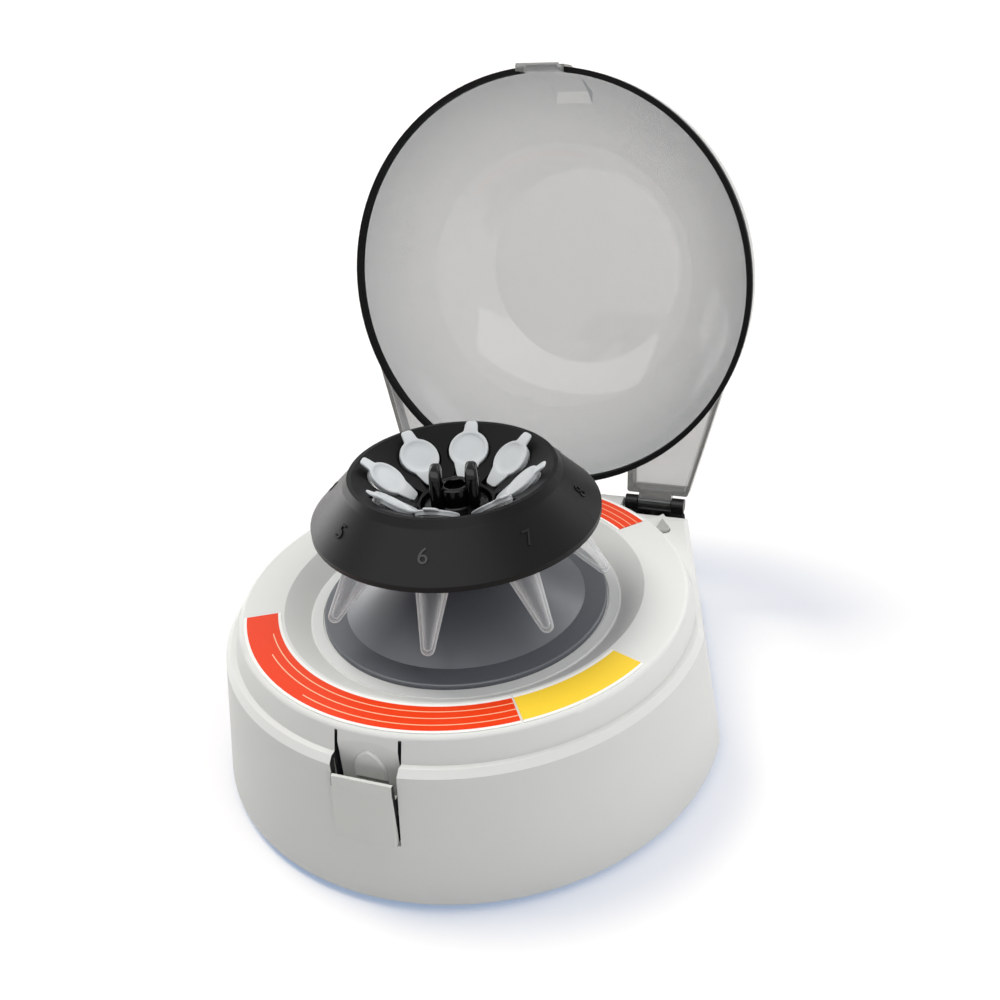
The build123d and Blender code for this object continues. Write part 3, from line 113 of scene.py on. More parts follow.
def feed(tree: bpy.types.NodeTree, node: bpy.types.Node, values: dict) -> None:
    """Gives a node's inputs their values: a socket as a link, and anything else as a constant.

    Args:
        tree: the node tree.
        node: the node.
        values: sockets or constants by input name or number.
    """
    for name, value in values.items():
        if isinstance(value, bpy.types.NodeSocket):
            tree.links.new(value, node.inputs[name])
        else:
            node.inputs[name].default_value = value


def compute(tree: bpy.types.NodeTree, operation: str, *values: float | bpy.types.NodeSocket) -> bpy.types.NodeSocket:
    """Adds one arithmetic node.

    Args:
        tree: the node tree.
        operation: what it works out.
        values: sockets or numbers, in the order of its inputs.

    Returns:
        The result's socket.
    """
    node = add_node(tree, "ShaderNodeMath", {"operation": operation})
    feed(tree, node, dict(enumerate(values)))
    return node.outputs[0]


def mixed(
    tree: bpy.types.NodeTree, factor: bpy.types.NodeSocket, first: str | bpy.types.NodeSocket,
    second: str | bpy.types.NodeSocket,
) -> bpy.types.NodeSocket:
    """Adds one mix of two colours.

    Args:
        tree: the node tree.
        factor: 0 for the first colour and 1 for the second.
        first: a hex colour or a socket.
        second: a hex colour or a socket.

    Returns:
        The mixed colour's socket.
    """
    node = add_node(tree, "ShaderNodeMix", {"data_type": "RGBA"}, {0: factor})
    pair = {6: first, 7: second}
    feed(tree, node, {name: linear(value) if isinstance(value, str) else value for name, value in pair.items()})
    return node.outputs[2]


def position(tree: bpy.types.NodeTree) -> bpy.types.NodeSocket:
    """The point's place in its piece's own mesh."""
    return add_node(tree, "ShaderNodeTexCoord").outputs["Object"]


def noise(
    tree: bpy.types.NodeTree, size_mm: float, detail: float, place: bpy.types.NodeSocket | None = None
) -> bpy.types.NodeSocket:
    """Adds a noise.

    Args:
        tree: the node tree.
        size_mm: the size of its patches.
        detail: how many finer layers it adds.
        place: the point it is read at; the place in the mesh when left out.

    Returns:
        The noise's socket, from 0 to 1.
    """
    settings = {"Scale": 1 / (size_mm * MM), "Detail": detail}
    made = add_node(tree, "ShaderNodeTexNoise", settings, {"Vector": place or position(tree)})
    return made.outputs["Fac"]


def ranged(
    tree: bpy.types.NodeTree, value: bpy.types.NodeSocket, low: float, high: float, start: float = 0.0,
    stop: float = 1.0,
) -> bpy.types.NodeSocket:
    """Adds a straight change of scale, held at its ends.

    Args:
        tree: the node tree.
        value: the socket to rescale.
        low: the result at the start value.
        high: the result at the stop value.
        start: the value that gives the low result.
        stop: the value that gives the high result.

    Returns:
        The result's socket.
    """
    limits = {"From Min": start, "From Max": stop, "To Min": low, "To Max": high}
    return add_node(tree, "ShaderNodeMapRange", limits, {"Value": value}).outputs["Result"]


def skin(
    tree: bpy.types.NodeTree, height: bpy.types.NodeSocket, depth_mm: float, strength: float
) -> bpy.types.NodeSocket:
    """Adds the normal of a finely uneven skin.

    Args:
        tree: the node tree.
        height: the unevenness, from 0 to 1.
        depth_mm: how deep it is.
        strength: how much of it shows.

    Returns:
        The normal's socket.
    """
    settings = {"Strength": strength, "Distance": depth_mm * MM}
    return add_node(tree, "ShaderNodeBump", settings, {"Height": height}).outputs["Normal"]


def split(tree: bpy.types.NodeTree, place: bpy.types.NodeSocket) -> list[bpy.types.NodeSocket]:
    """A point's X, Y and Z."""
    return list(add_node(tree, "ShaderNodeSeparateXYZ", links={0: place}).outputs)


def from_axis(tree: bpy.types.NodeTree, place: bpy.types.NodeSocket) -> bpy.types.NodeSocket:
    """A point's distance from the drum's axis."""
    flat = add_node(tree, "ShaderNodeVectorMath", {"operation": "MULTIPLY", 1: (1.0, 1.0, 0.0)}, {0: place})
    return add_node(tree, "ShaderNodeVectorMath", {"operation": "LENGTH"}, {0: flat.outputs[0]}).outputs["Value"]


def background_rays(tree: bpy.types.NodeTree) -> bpy.types.NodeSocket:
    """One for the camera, glossy and clear rays that see the background, nought for the rest.

    Args:
        tree: the material's or the world's node tree.

    Returns:
        The output socket.
    """
    path = add_node(tree, "ShaderNodeLightPath")
    seen = path.outputs["Is Camera Ray"]
    for kind in ("Is Glossy Ray", "Is Transmission Ray"):
        seen = compute(tree, "MAXIMUM", seen, path.outputs[kind])
    return seen


class Sheen(Enum):
    """How polished a moulding's tool was, as the roughness that it leaves."""

    MATT = 0.55
    SATIN = 0.38
    GLOSS = 0.14


class Motion(Enum):
    """The moving bodies that added pieces ride on."""

    ROTOR = "rotor"
    NUT = "rotor_nut"


@dataclass(frozen=True)
class Finish:
    """A finish that makes its material once and shares it."""

    name: str

    def material(self) -> bpy.types.Material:
        """Makes the finish's material, or returns the one already made.

        Returns:
            The shared material.
        """
        known = bpy.data.materials.get(self.name)
        if known is not None:
            return known
        made = bpy.data.materials.new(self.name)
        made.use_nodes = True
        tree = made.node_tree
        tree.nodes.clear()
        shader = add_node(tree, "ShaderNodeBsdfPrincipled")
        add_node(tree, "ShaderNodeOutputMaterial", links={"Surface": shader.outputs["BSDF"]})
        self.paint(tree, shader)
        return made

    def paint(self, tree: bpy.types.NodeTree, shader: bpy.types.Node) -> None:
        """Sets the shader's sockets and adds the pattern nodes."""
        raise NotImplementedError


@dataclass(frozen=True)
class MouldedPlastic(Finish):
    """Injection-moulded ABS: a spark-eroded tool leaves a fine even grain and a soft sheen."""

    colour: str = "#dcdcd8"
    shade: str = "#d2d2ce"
    sheen: Sheen = Sheen.MATT
    grain_mm: float = 0.5
    grain_depth_mm: float = 0.012
    drift_mm: float = 45.0
    ior: float = 1.53
    specular: float = 0.5

    def paint(self, tree: bpy.types.NodeTree, shader: bpy.types.Node) -> None:
        """Tone drifts slowly over the moulding; a fine noise is both its grain and its roughness."""
        grain = noise(tree, self.grain_mm, 2.0)
        feed(tree, shader, {
            "IOR": self.ior,
            "Specular IOR Level": self.specular,
            "Base Color": mixed(tree, noise(tree, self.drift_mm, 3.0), self.shade, self.colour),
            "Roughness": ranged(tree, grain, self.sheen.value - 0.05, self.sheen.value + 0.05, 0.3, 0.7),
            "Normal": skin(tree, grain, self.grain_depth_mm, 0.6),
        })


@dataclass(frozen=True)
class SlottedPlastic(MouldedPlastic):
    """Moulded plastic whose deep narrow gaps beside the latch get painted black shade, where no light gets out."""

    # painted shade: this black stands for the dark deep inside the gaps, not for the plastic's own colour
    painted_gap_shade: str = "#0b0b0b"
    gap_from_mm: tuple[float, float, float] = (8.83, -75.2, 20.6)
    gap_to_mm: tuple[float, float, float] = (9.78, -65.0, 50.2)

    def paint(self, tree: bpy.types.NodeTree, shader: bpy.types.Node) -> None:
        """Paints black shade over what lies in one box on each side of the middle."""
        super().paint(tree, shader)
        x, y, z = split(tree, position(tree))
        inside = [
            compute(tree, "COMPARE", place, (low + high) / 2 * MM, (high - low) / 2 * MM)
            for place, low, high in zip((compute(tree, "ABSOLUTE", x), y, z), self.gap_from_mm, self.gap_to_mm)
        ]
        # mask of the box that gets the painted gap shade
        mask = compute(tree, "MULTIPLY", compute(tree, "MULTIPLY", inside[0], inside[1]), inside[2])
        lit = shader.inputs["Base Color"].links[0].from_socket
        feed(tree, shader, {"Base Color": mixed(tree, mask, lit, self.painted_gap_shade)})


@dataclass(frozen=True)
class PrintedFilm(Finish):
    """Polyester film printed from behind: an even satin colour, a white margin and pale rules."""

    colour: str = "#ea4a22"
    margin: str = "#f6f5f1"
    rule: str = "#f6bf9a"
    inner_mm: float = 57.7
    outer_mm: float = 69.0
    margin_mm: float = 0.9
    rules_mm: tuple[tuple[float, float], ...] = ()
    rule_mm: float = 0.34
    ink_grain_mm: float = 0.35

    def paint(self, tree: bpy.types.NodeTree, shader: bpy.types.Node) -> None:
        """The distance from the drum's axis picks colour, margin or rule; a rule starts at its own X."""
        place = position(tree)
        radius = from_axis(tree, place)
        middle = (self.inner_mm + self.outer_mm) / 2 * MM
        half = ((self.outer_mm - self.inner_mm) / 2 - self.margin_mm) * MM
        tone = mixed(tree, compute(tree, "COMPARE", radius, middle, half), self.margin, self.colour)
        across = split(tree, place)[0]
        for line, start in self.rules_mm:
            hair = compute(tree, "COMPARE", radius, line * MM, self.rule_mm / 2 * MM)
            begun = compute(tree, "GREATER_THAN", across, start * MM)
            tone = mixed(tree, compute(tree, "MULTIPLY", hair, begun), tone, self.rule)
        feed(tree, shader, {
            "IOR": 1.5,
            "Specular IOR Level": 0.3,
            "Base Color": tone,
            "Roughness": ranged(tree, noise(tree, self.ink_grain_mm, 2.0), 0.3, 0.42),
        })


@dataclass(frozen=True)
class ClearMoulding(Finish):
    """Clear moulded polycarbonate or polypropylene: see-through face on, fuller at grazing angles."""

    colour: str = "#c9ccce"
    facing: float = 0.3
    grazing: float = 0.9
    roughness: float = 0.06
    ripple_mm: float = 30.0
    ripple_depth_mm: float = 0.06
    ior: float = 1.58
    falloff: float = 0.35
    full: float = 1.0
    specular: float = 0.5

    def paint(self, tree: bpy.types.NodeTree, shader: bpy.types.Node) -> None:
        """Opacity rises from the facing to the grazing value; a slow noise ripples the moulded skin."""
        ripple = noise(tree, self.ripple_mm, 0.0)
        edge = add_node(tree, "ShaderNodeLayerWeight", {"Blend": self.falloff}).outputs["Facing"]
        feed(tree, shader, {
            "Base Color": linear(self.colour),
            "IOR": self.ior,
            "Specular IOR Level": self.specular,
            "Alpha": ranged(tree, edge, self.facing, self.grazing, stop=self.full),
            "Roughness": ranged(tree, ripple, self.roughness * 0.7, self.roughness * 1.3),
            "Normal": skin(tree, ripple, self.ripple_depth_mm, 0.5),
        })


@dataclass(frozen=True)
class RibbedMoulding(ClearMoulding):
    """Clear moulding whose ribbed ears are painted darker at their ribs, partly for the thicker tinted plastic and
    partly as painted shade for their dark edge reflections.
    """

    rib_tint_and_painted_shade: str = "#3f423f"
    rib_alpha: float = 0.72
    hinge_mm: tuple[float, float, float] = (0.0, 78.0, 43.3)
    open_angle: float = 100.3
    dome_radius_mm: float = 75.3
    side_foot_mm: float = 76.1
    side_lean: float = 14.5
    inner_x_mm: float = 33.3
    end_y_mm: float = 75.1
    rib_mm: float = 2.1

    def paint(self, tree: bpy.types.NodeTree, shader: bpy.types.Node) -> None:
        """Swings each point to the shut lid, where the ears' plan picks out their ribs."""
        super().paint(tree, shader)
        centre = tuple(v * MM for v in self.hinge_mm)
        swing = {"rotation_type": "X_AXIS", "Center": centre, "Angle": math.radians(self.open_angle)}
        shut = add_node(tree, "ShaderNodeVectorRotate", swing, {"Vector": position(tree)}).outputs[0]
        x, y, _ = split(tree, shut)
        width = compute(tree, "ABSOLUTE", x)
        leaned = compute(tree, "MULTIPLY_ADD", y, math.tan(math.radians(self.side_lean)), width)
        side = compute(tree, "GREATER_THAN", leaned, (self.side_foot_mm - self.rib_mm) * MM)
        inner = compute(tree, "LESS_THAN", width, (self.inner_x_mm + self.rib_mm) * MM)
        end = compute(tree, "GREATER_THAN", y, (self.end_y_mm - self.rib_mm) * MM)
        ribs = compute(tree, "MAXIMUM", compute(tree, "MAXIMUM", side, inner), end)
        beyond = compute(tree, "GREATER_THAN", from_axis(tree, shut), self.dome_radius_mm * MM)
        mask = compute(tree, "MULTIPLY", ribs, beyond)
        thin = shader.inputs["Alpha"].links[0].from_socket
        alpha = add_node(tree, "ShaderNodeMix", {"data_type": "FLOAT", 3: self.rib_alpha}, {0: mask, 2: thin})
        feed(tree, shader, {
            # darker ribs: the tint of thicker plastic plus painted shade standing for the dark reflections at their
            # edges
            "Base Color": mixed(tree, mask, self.colour, self.rib_tint_and_painted_shade),
            "Alpha": alpha.outputs[0],
        })


@dataclass(frozen=True)
class Rubber(Finish):
    """Moulded rubber: dull, with a powdery bloom over a fine pitted skin."""

    colour: str = "#0a0a0a"
    bloom: str = "#121212"
    roughness: float = 0.62
    specular: float = 0.08
    bloom_mm: float = 9.0
    pit_mm: float = 0.3
    pit_depth_mm: float = 0.01

    def paint(self, tree: bpy.types.NodeTree, shader: bpy.types.Node) -> None:
        """Bloom in slow patches over the base colour, with pits from a fine noise."""
        feed(tree, shader, {
            "Roughness": self.roughness,
            "IOR": 1.5,
            "Specular IOR Level": self.specular,
            "Base Color": mixed(tree, noise(tree, self.bloom_mm, 4.0), self.colour, self.bloom),
            "Normal": skin(tree, noise(tree, self.pit_mm, 1.0), self.pit_depth_mm, 0.5),
        })


@dataclass(frozen=True)
class WorkedMetal(Finish):
    """Turned, brushed or plated metal: fine lines across the direction of work."""

    colour: str = "#b4b6b8"
    streak: str = "#8e9092"
    roughness: float = 0.3
    stretch: tuple[float, float, float] = (1.0, 1.0, 12.0)
    line_mm: float = 0.4
    line_depth_mm: float = 0.008

    def paint(self, tree: bpy.types.NodeTree, shader: bpy.types.Node) -> None:
        """A noise stretched along the tool's path gives the lines' tone, roughness and height."""
        along = add_node(tree, "ShaderNodeMapping", {"Scale": self.stretch}, {"Vector": position(tree)})
        lines = noise(tree, self.line_mm * 10, 4.0, along.outputs["Vector"])
        feed(tree, shader, {
            "Metallic": 1.0,
            "Base Color": mixed(tree, lines, self.streak, self.colour),
            "Roughness": ranged(tree, lines, self.roughness - 0.08, self.roughness + 0.08),
            "Normal": skin(tree, lines, self.line_depth_mm, 0.4),
        })


@dataclass(frozen=True)
class CircuitLaminate(Finish):
    """Glass-epoxy board under green solder resist, with straight tracks showing through."""

    resist: str = "#1d5b34"
    track: str = "#2f7a48"
    pitch_mm: float = 4.0
    track_depth_mm: float = 0.035

    def paint(self, tree: bpy.types.NodeTree, shader: bpy.types.Node) -> None:
        """A brick pattern on the board's plan stands for the tracks, raised under the resist."""
        settings = {"Scale": 1 / (self.pitch_mm * MM), "Mortar Size": 0.06, "Mortar": linear(self.track)}
        settings |= {"Color1": linear(self.resist), "Color2": linear(self.resist)}
        tracks = add_node(tree, "ShaderNodeTexBrick", settings, {"Vector": position(tree)})
        feed(tree, shader, {
            "Roughness": 0.28,
            "IOR": 1.55,
            "Base Color": tracks.outputs["Color"],
            "Normal": skin(tree, tracks.outputs["Fac"], self.track_depth_mm, 0.5),
        })


@dataclass(frozen=True)
class EnamelledWinding(Finish):
    """Armature: varnished copper turns wound over a stacked iron core."""

    wire: str = "#8a3d1c"
    gap: str = "#2a1a12"
    band_mm: float = 10.0

    def paint(self, tree: bpy.types.NodeTree, shader: bpy.types.Node) -> None:
        """Bands stacked along the shaft stand for turns and laminations."""
        settings = {"bands_direction": "Z", "Scale": 1 / (self.band_mm * MM), "Distortion": 0.4}
        turns = add_node(tree, "ShaderNodeTexWave", settings, {"Vector": position(tree)})
        feed(tree, shader, {
            "Roughness": 0.3,
            "Metallic": 0.6,
            "Base Color": mixed(tree, turns.outputs["Fac"], self.gap, self.wire),
        })


@dataclass(frozen=True)
class StudioPaper(Finish):
    """Seamless white studio paper: dull and faintly mottled, and it keeps a soft cool shadow."""

    colour: str = "#e8e8e8"
    mottle: str = "#e4e4e4"
    seen: str = "#efe1ca"
    lift: str = "#6c88ac"
    mottle_mm: float = 60.0

    def paint(self, tree: bpy.types.NodeTree, shader: bpy.types.Node) -> None:
        """Fine mottle under a dull surface, with a cool lift for the rays that see a background."""
        tone = mixed(tree, noise(tree, self.mottle_mm, 3.0), self.mottle, self.colour)
        seen = background_rays(tree)
        feed(tree, shader, {
            "Roughness": 0.9,
            "Specular IOR Level": 0.0,
            "Emission Color": linear(self.lift),
            "Base Color": mixed(tree, seen, tone, self.seen),
            "Emission Strength": seen,
        })


# housing, cover and latch: painted black shade in the deep gaps beside the latch
HOUSING_ABS = SlottedPlastic("housing_abs_light_grey", "#dadad7", "#d4d4d1")
COVER_ABS = SlottedPlastic("cover_abs_light_grey", "#e2e2df", "#dcdcd9")
LATCH_ABS = SlottedPlastic("latch_abs_light_grey", "#d7d7d3", "#d0d0cc", gap_from_mm=(8.83, -77.6, 20.6))
UNDERSIDE_ABS = MouldedPlastic("underside_abs_charcoal", "#3a3a3b", "#303031")
LINER_ABS = MouldedPlastic("liner_abs_slate", "#66696f", "#5e6167", Sheen.SATIN, 0.6, specular=0.55)
SEAL_TPE = MouldedPlastic("seal_tpe_white", "#e2e3e1", "#dcdddb", Sheen.SATIN)
BLACK_ABS = MouldedPlastic("hinge_abs_black", "#0e0e0e", "#0a0a0a", Sheen.SATIN, specular=0.3)
ROTOR_NYLON = MouldedPlastic("rotor_nylon_black", "#0f0f10", "#0c0c0d", Sheen.SATIN, 0.35, 0.008, specular=0.12)
NUMERAL_NYLON = MouldedPlastic("numeral_nylon_black", "#050505", "#080808", Sheen.GLOSS, specular=0.3)
NUT_ABS = MouldedPlastic("nut_abs_gloss_black", "#070707", "#0b0b0b", Sheen.GLOSS, 1.2, 0.004, specular=0.25)
PIN_ABS = MouldedPlastic("pin_abs_pale", "#b4b4b0", "#a9a9a5", Sheen.SATIN)
# lid: the ears' ribs are painted darker, partly as painted shade for their edge reflections
LID_POLYCARBONATE = RibbedMoulding("lid_polycarbonate_smoke", "#9aa0a1", 0.36, 0.78)
CATCH_POLYCARBONATE = ClearMoulding("catch_polycarbonate", "#8b8d8a", 0.55, 0.9)
TUBE_POLYPROPYLENE = ClearMoulding(
    "tube_polypropylene", "#f2f4f5", 0.05, 0.95, 0.14, 6.0, 0.03, 1.49, falloff=0.12, full=0.42, specular=0.3
)
CAP_POLYPROPYLENE = MouldedPlastic(
    "cap_polypropylene_frosted", "#d4d7d8", "#cbced0", Sheen.SATIN, 0.7, 0.02, 6.0, 1.49
)
RED_FILM = PrintedFilm("film_red_orange", "#ee3f12", rules_mm=((60.7, -47.0), (63.3, -42.0), (65.9, -24.0)))
YELLOW_FILM = PrintedFilm("film_yellow", "#fbd33a")
BLACK_RUBBER = Rubber("rubber_black")
LEAD_RUBBER = Rubber("lead_insulation_red", "#8e1f18", "#7c1a14", 0.45)
BRUSHED_STEEL = WorkedMetal("steel_ground")
BLACK_OXIDE_STEEL = WorkedMetal("steel_black_oxide", "#2b2b2d", "#1c1c1e", 0.34)
ZINC_PLATE = WorkedMetal("steel_zinc_plated", "#a9adb2", "#989ca2", 0.36, (1.0, 1.0, 1.0), 0.3)
TURNED_ALUMINIUM = WorkedMetal("aluminium_turned", "#c6c8ca", "#b2b4b6", 0.32, (1.0, 1.0, 16.0), 0.25)
SINTERED_BRONZE = WorkedMetal("bronze_sintered", "#a07a4a", "#86643a", 0.5, (1.0, 1.0, 1.0), 0.2)
BARE_COPPER = WorkedMetal("copper_turned", "#c98356", "#a8673e", 0.35, (1.0, 1.0, 10.0), 0.2)
FERRITE = Rubber("ferrite_dull", "#2a2a2c", "#343436", 0.7)
CARBON = Rubber("carbon_dull", "#1c1c1d", "#262627", 0.6)
BOARD = CircuitLaminate("board_laminate_green")
BOARD_PART_EPOXY = MouldedPlastic("board_part_epoxy", "#25282f", "#1d2026", Sheen.SATIN)
WINDING = EnamelledWinding("armature_winding")
PAPER = StudioPaper("studio_paper")


def grid_faces(rows: int, columns: int, wrap_rows: bool, wrap_columns: bool) -> np.ndarray:
    """The four-sided faces of a grid of points stored row by row.

    Args:
        rows: how many rows of points.
        columns: how many points in a row.
        wrap_rows: whether the last row joins the first.
        wrap_columns: whether each row's last point joins its first.

    Returns:
        One row of four point numbers per face.
    """
    row = np.arange(rows if wrap_rows else rows - 1)
    column = np.arange(columns if wrap_columns else columns - 1)
    r, c = np.meshgrid(row, column, indexing="ij")
    down = (r + 1) % rows
    across = (c + 1) % columns
    corners = (r * columns + c, r * columns + across, down * columns + across, down * columns + c)
    return np.stack(corners, axis=-1).reshape(-1, 4)


def lathe(profile: np.ndarray, steps: int) -> tuple[np.ndarray, np.ndarray]:
    """A profile turned about Z: a point at (r, z) goes to (r cos t, r sin t, z) for every angle t.

    Args:
        profile: (radius, height) pairs of a closed outline.
        steps: how many angles make the full turn.

    Returns:
        The points and the faces.
    """
    turn = np.linspace(0.0, 2 * math.pi, steps, endpoint=False)
    radius, height = profile[:, :1], profile[:, 1:]
    points = np.stack([radius * np.cos(turn), radius * np.sin(turn), height + 0 * turn], axis=-1)
    return points.reshape(-1, 3), grid_faces(len(profile), steps, True, True)


def rounded(profile: np.ndarray, reach: float, steps: int = 5) -> np.ndarray:
    """Rounds every corner of a closed outline.

    Each corner p becomes the curve (1-s)^2 a + 2 s (1-s) p + s^2 b, where a and b lie on the two
    sides at the reach, or at 0.4 of a shorter side.

    Args:
        profile: the corners, in order.
        reach: how far from a corner its rounding starts.
        steps: points per corner.

    Returns:
        The rounded outline.
    """
    before = np.roll(profile, 1, axis=0) - profile
    after = np.roll(profile, -1, axis=0) - profile
    span_before = np.linalg.norm(before, axis=1, keepdims=True)
    span_after = np.linalg.norm(after, axis=1, keepdims=True)
    start = profile + before / span_before * np.minimum(reach, 0.4 * span_before)
    stop = profile + after / span_after * np.minimum(reach, 0.4 * span_after)
    s = np.linspace(0.0, 1.0, steps)[None, :, None]
    curve = (1 - s) ** 2 * start[:, None] + 2 * s * (1 - s) * profile[:, None] + s**2 * stop[:, None]
    return curve.reshape(-1, 2)


def turned(points: np.ndarray, angle: float, axis: int) -> np.ndarray:
    """Turns points by an angle in degrees about one of the axes.

    Args:
        points: rows of x, y, z.
        angle: degrees, by the right-hand rule.
        axis: 0 for X, 1 for Y, 2 for Z.

    Returns:
        The turned points.
    """
    matrix = np.array(Matrix.Rotation(math.radians(angle), 3, "XYZ"[axis]))
    return points @ matrix.T


def add_object(name: str, data: bpy.types.ID) -> bpy.types.Object:
    """Makes an object and links it to the scene.

    Args:
        name: the object's name.
        data: its mesh, curve, light or camera.

    Returns:
        The object.
    """
    made = bpy.data.objects.new(name, data)
    bpy.context.scene.collection.objects.link(made)
    return made


def mend(mesh: bpy.types.Mesh, merge: float) -> None:
    """Merges a mesh's doubles and turns its faces outwards.

    Args:
        mesh: the mesh to mend.
        merge: how near doubles lie, in metres.
    """
    work = bmesh.new()
    work.from_mesh(mesh)
    bmesh.ops.remove_doubles(work, verts=work.verts, dist=merge)
    bmesh.ops.recalc_face_normals(work, faces=work.faces)
    work.to_mesh(mesh)
    work.free()


def make_piece(
    name: str, points: np.ndarray, faces: np.ndarray, finish: Finish, motion: Motion
) -> bpy.types.Object:
    """Makes one mesh object with its doubles merged, its faces outwards and its place in its mesh.

    Args:
        name: the piece's name.
        points: rows of x, y, z in millimetres.
        faces: rows of point numbers.
        finish: the finish it wears.
        motion: the body it rides on.

    Returns:
        The object, riding on its body.
    """
    mesh = bpy.data.meshes.new(name)
    mesh.from_pydata((points * MM).tolist(), [], faces.tolist())
    mend(mesh, 1e-7)
    mesh.polygons.foreach_set("use_smooth", np.ones(len(mesh.polygons), dtype=bool))
    mesh.set_sharp_from_angle(angle=math.radians(CRISP_EDGE))
    mesh.materials.append(finish.material())
    mesh.update()
    made = add_object(name, mesh)
    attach(made, motion.value)
    LOG.info("%s: %d faces on %s", name, len(mesh.polygons), motion.value)
    return made


def joined(parts: list[tuple[np.ndarray, np.ndarray]]) -> tuple[np.ndarray, np.ndarray]:
    """Puts several point and face arrays into one pair, renumbering the faces.

    Args:
        parts: pairs of points and faces.

    Returns:
        All points and all faces.
    """
    starts = np.cumsum([0] + [len(points) for points, _ in parts[:-1]])
    points = np.concatenate([points for points, _ in parts])
    faces = np.concatenate([faces + start for (_, faces), start in zip(parts, starts)])
    return points, faces


@dataclass
class Dressing:
    """Carried-over solids of one sub-assembly and the finish that each wears."""

    frame: dict
    finishes: dict[str, Finish] = field(default_factory=dict)

    def dress(self) -> None:
        """Gives each solid its finish."""
        for node, finish in self.finishes.items():
            solid = self.frame["nodes"][node]
            solid.data.materials.clear()
            solid.data.materials.append(finish.material())
            LOG.info("%s wears %s", node, finish.name)


@dataclass
class Housing(Dressing):
    """Drum, top cover, underside, feet and their screws."""

    finishes: dict[str, Finish] = field(
        default_factory=lambda: {
            "base_shell": HOUSING_ABS,
            "top_cover": COVER_ABS,
            "bottom_plate": UNDERSIDE_ABS,
            "rubber_feet": BLACK_RUBBER,
            "housing_screws": ZINC_PLATE,
            "front_band": RED_FILM,
            "side_band": YELLOW_FILM,
            "rear_band": RED_FILM,
        }
    )


@dataclass
class Bowl(Dressing):
    """The well's stepped liner and its seal ring."""

    finishes: dict[str, Finish] = field(
        default_factory=lambda: {"bowl_liner": LINER_ABS, "bowl_seal_ring": SEAL_TPE}
    )


@dataclass
class Closure(Dressing):
    """Latch, lid pin and switch, hinge blocks and pins."""

    finishes: dict[str, Finish] = field(
        default_factory=lambda: {
            "latch_button": LATCH_ABS,
            "latch_pivot_pin": BRUSHED_STEEL,
            "latch_spring": BRUSHED_STEEL,
            "lid_pin": PIN_ABS,
            "lid_pin_spring": BRUSHED_STEEL,
            "lid_switch": BLACK_ABS,
            "right_hinge_block": BLACK_ABS,
            "left_hinge_block": BLACK_ABS,
            "right_hinge_pin": BLACK_OXIDE_STEEL,
            "left_hinge_pin": BLACK_OXIDE_STEEL,
            "hinge_screws": BLACK_OXIDE_STEEL,
        }
    )


@dataclass
class Lid(Dressing):
    """Clear domed lid with its ears, black rim seal and catch."""

    finishes: dict[str, Finish] = field(
        default_factory=lambda: {
            "lid_dome": LID_POLYCARBONATE,
            "lid_rim_seal": BLACK_RUBBER,
            "lid_catch": CATCH_POLYCARBONATE,
        }
    )


@dataclass
class Drive(Dressing):
    """Motor with its mounting, and the seat that carries the rotor."""

    finishes: dict[str, Finish] = field(
        default_factory=lambda: {
            "motor_can": ZINC_PLATE,
            "motor_end_cap": BLACK_ABS,
            "motor_magnets": FERRITE,
            "motor_brushes": CARBON,
            "upper_bearing": SINTERED_BRONZE,
            "lower_bearing": SINTERED_BRONZE,
            "motor_bracket": TURNED_ALUMINIUM,
            "vibration_dampers": BLACK_RUBBER,
            "motor_screws": ZINC_PLATE,
            "motor_shaft": BRUSHED_STEEL,
            "armature": WINDING,
            "commutator": BARE_COPPER,
            "rotor_seat": BRUSHED_STEEL,
            "rotor_hub_insert": TURNED_ALUMINIUM,
        }
    )


@dataclass
class Electrics(Dressing):
    """Control board, leads, rocker switch and power inlet."""

    finishes: dict[str, Finish] = field(
        default_factory=lambda: {
            "circuit_board": BOARD,
            "board_parts": BOARD_PART_EPOXY,
            "board_screws": ZINC_PLATE,
            "motor_leads": LEAD_RUBBER,
            "power_inlet": BLACK_ABS,
            "switch_frame": BLACK_ABS,
            "rocker": BLACK_ABS,
        }
    )


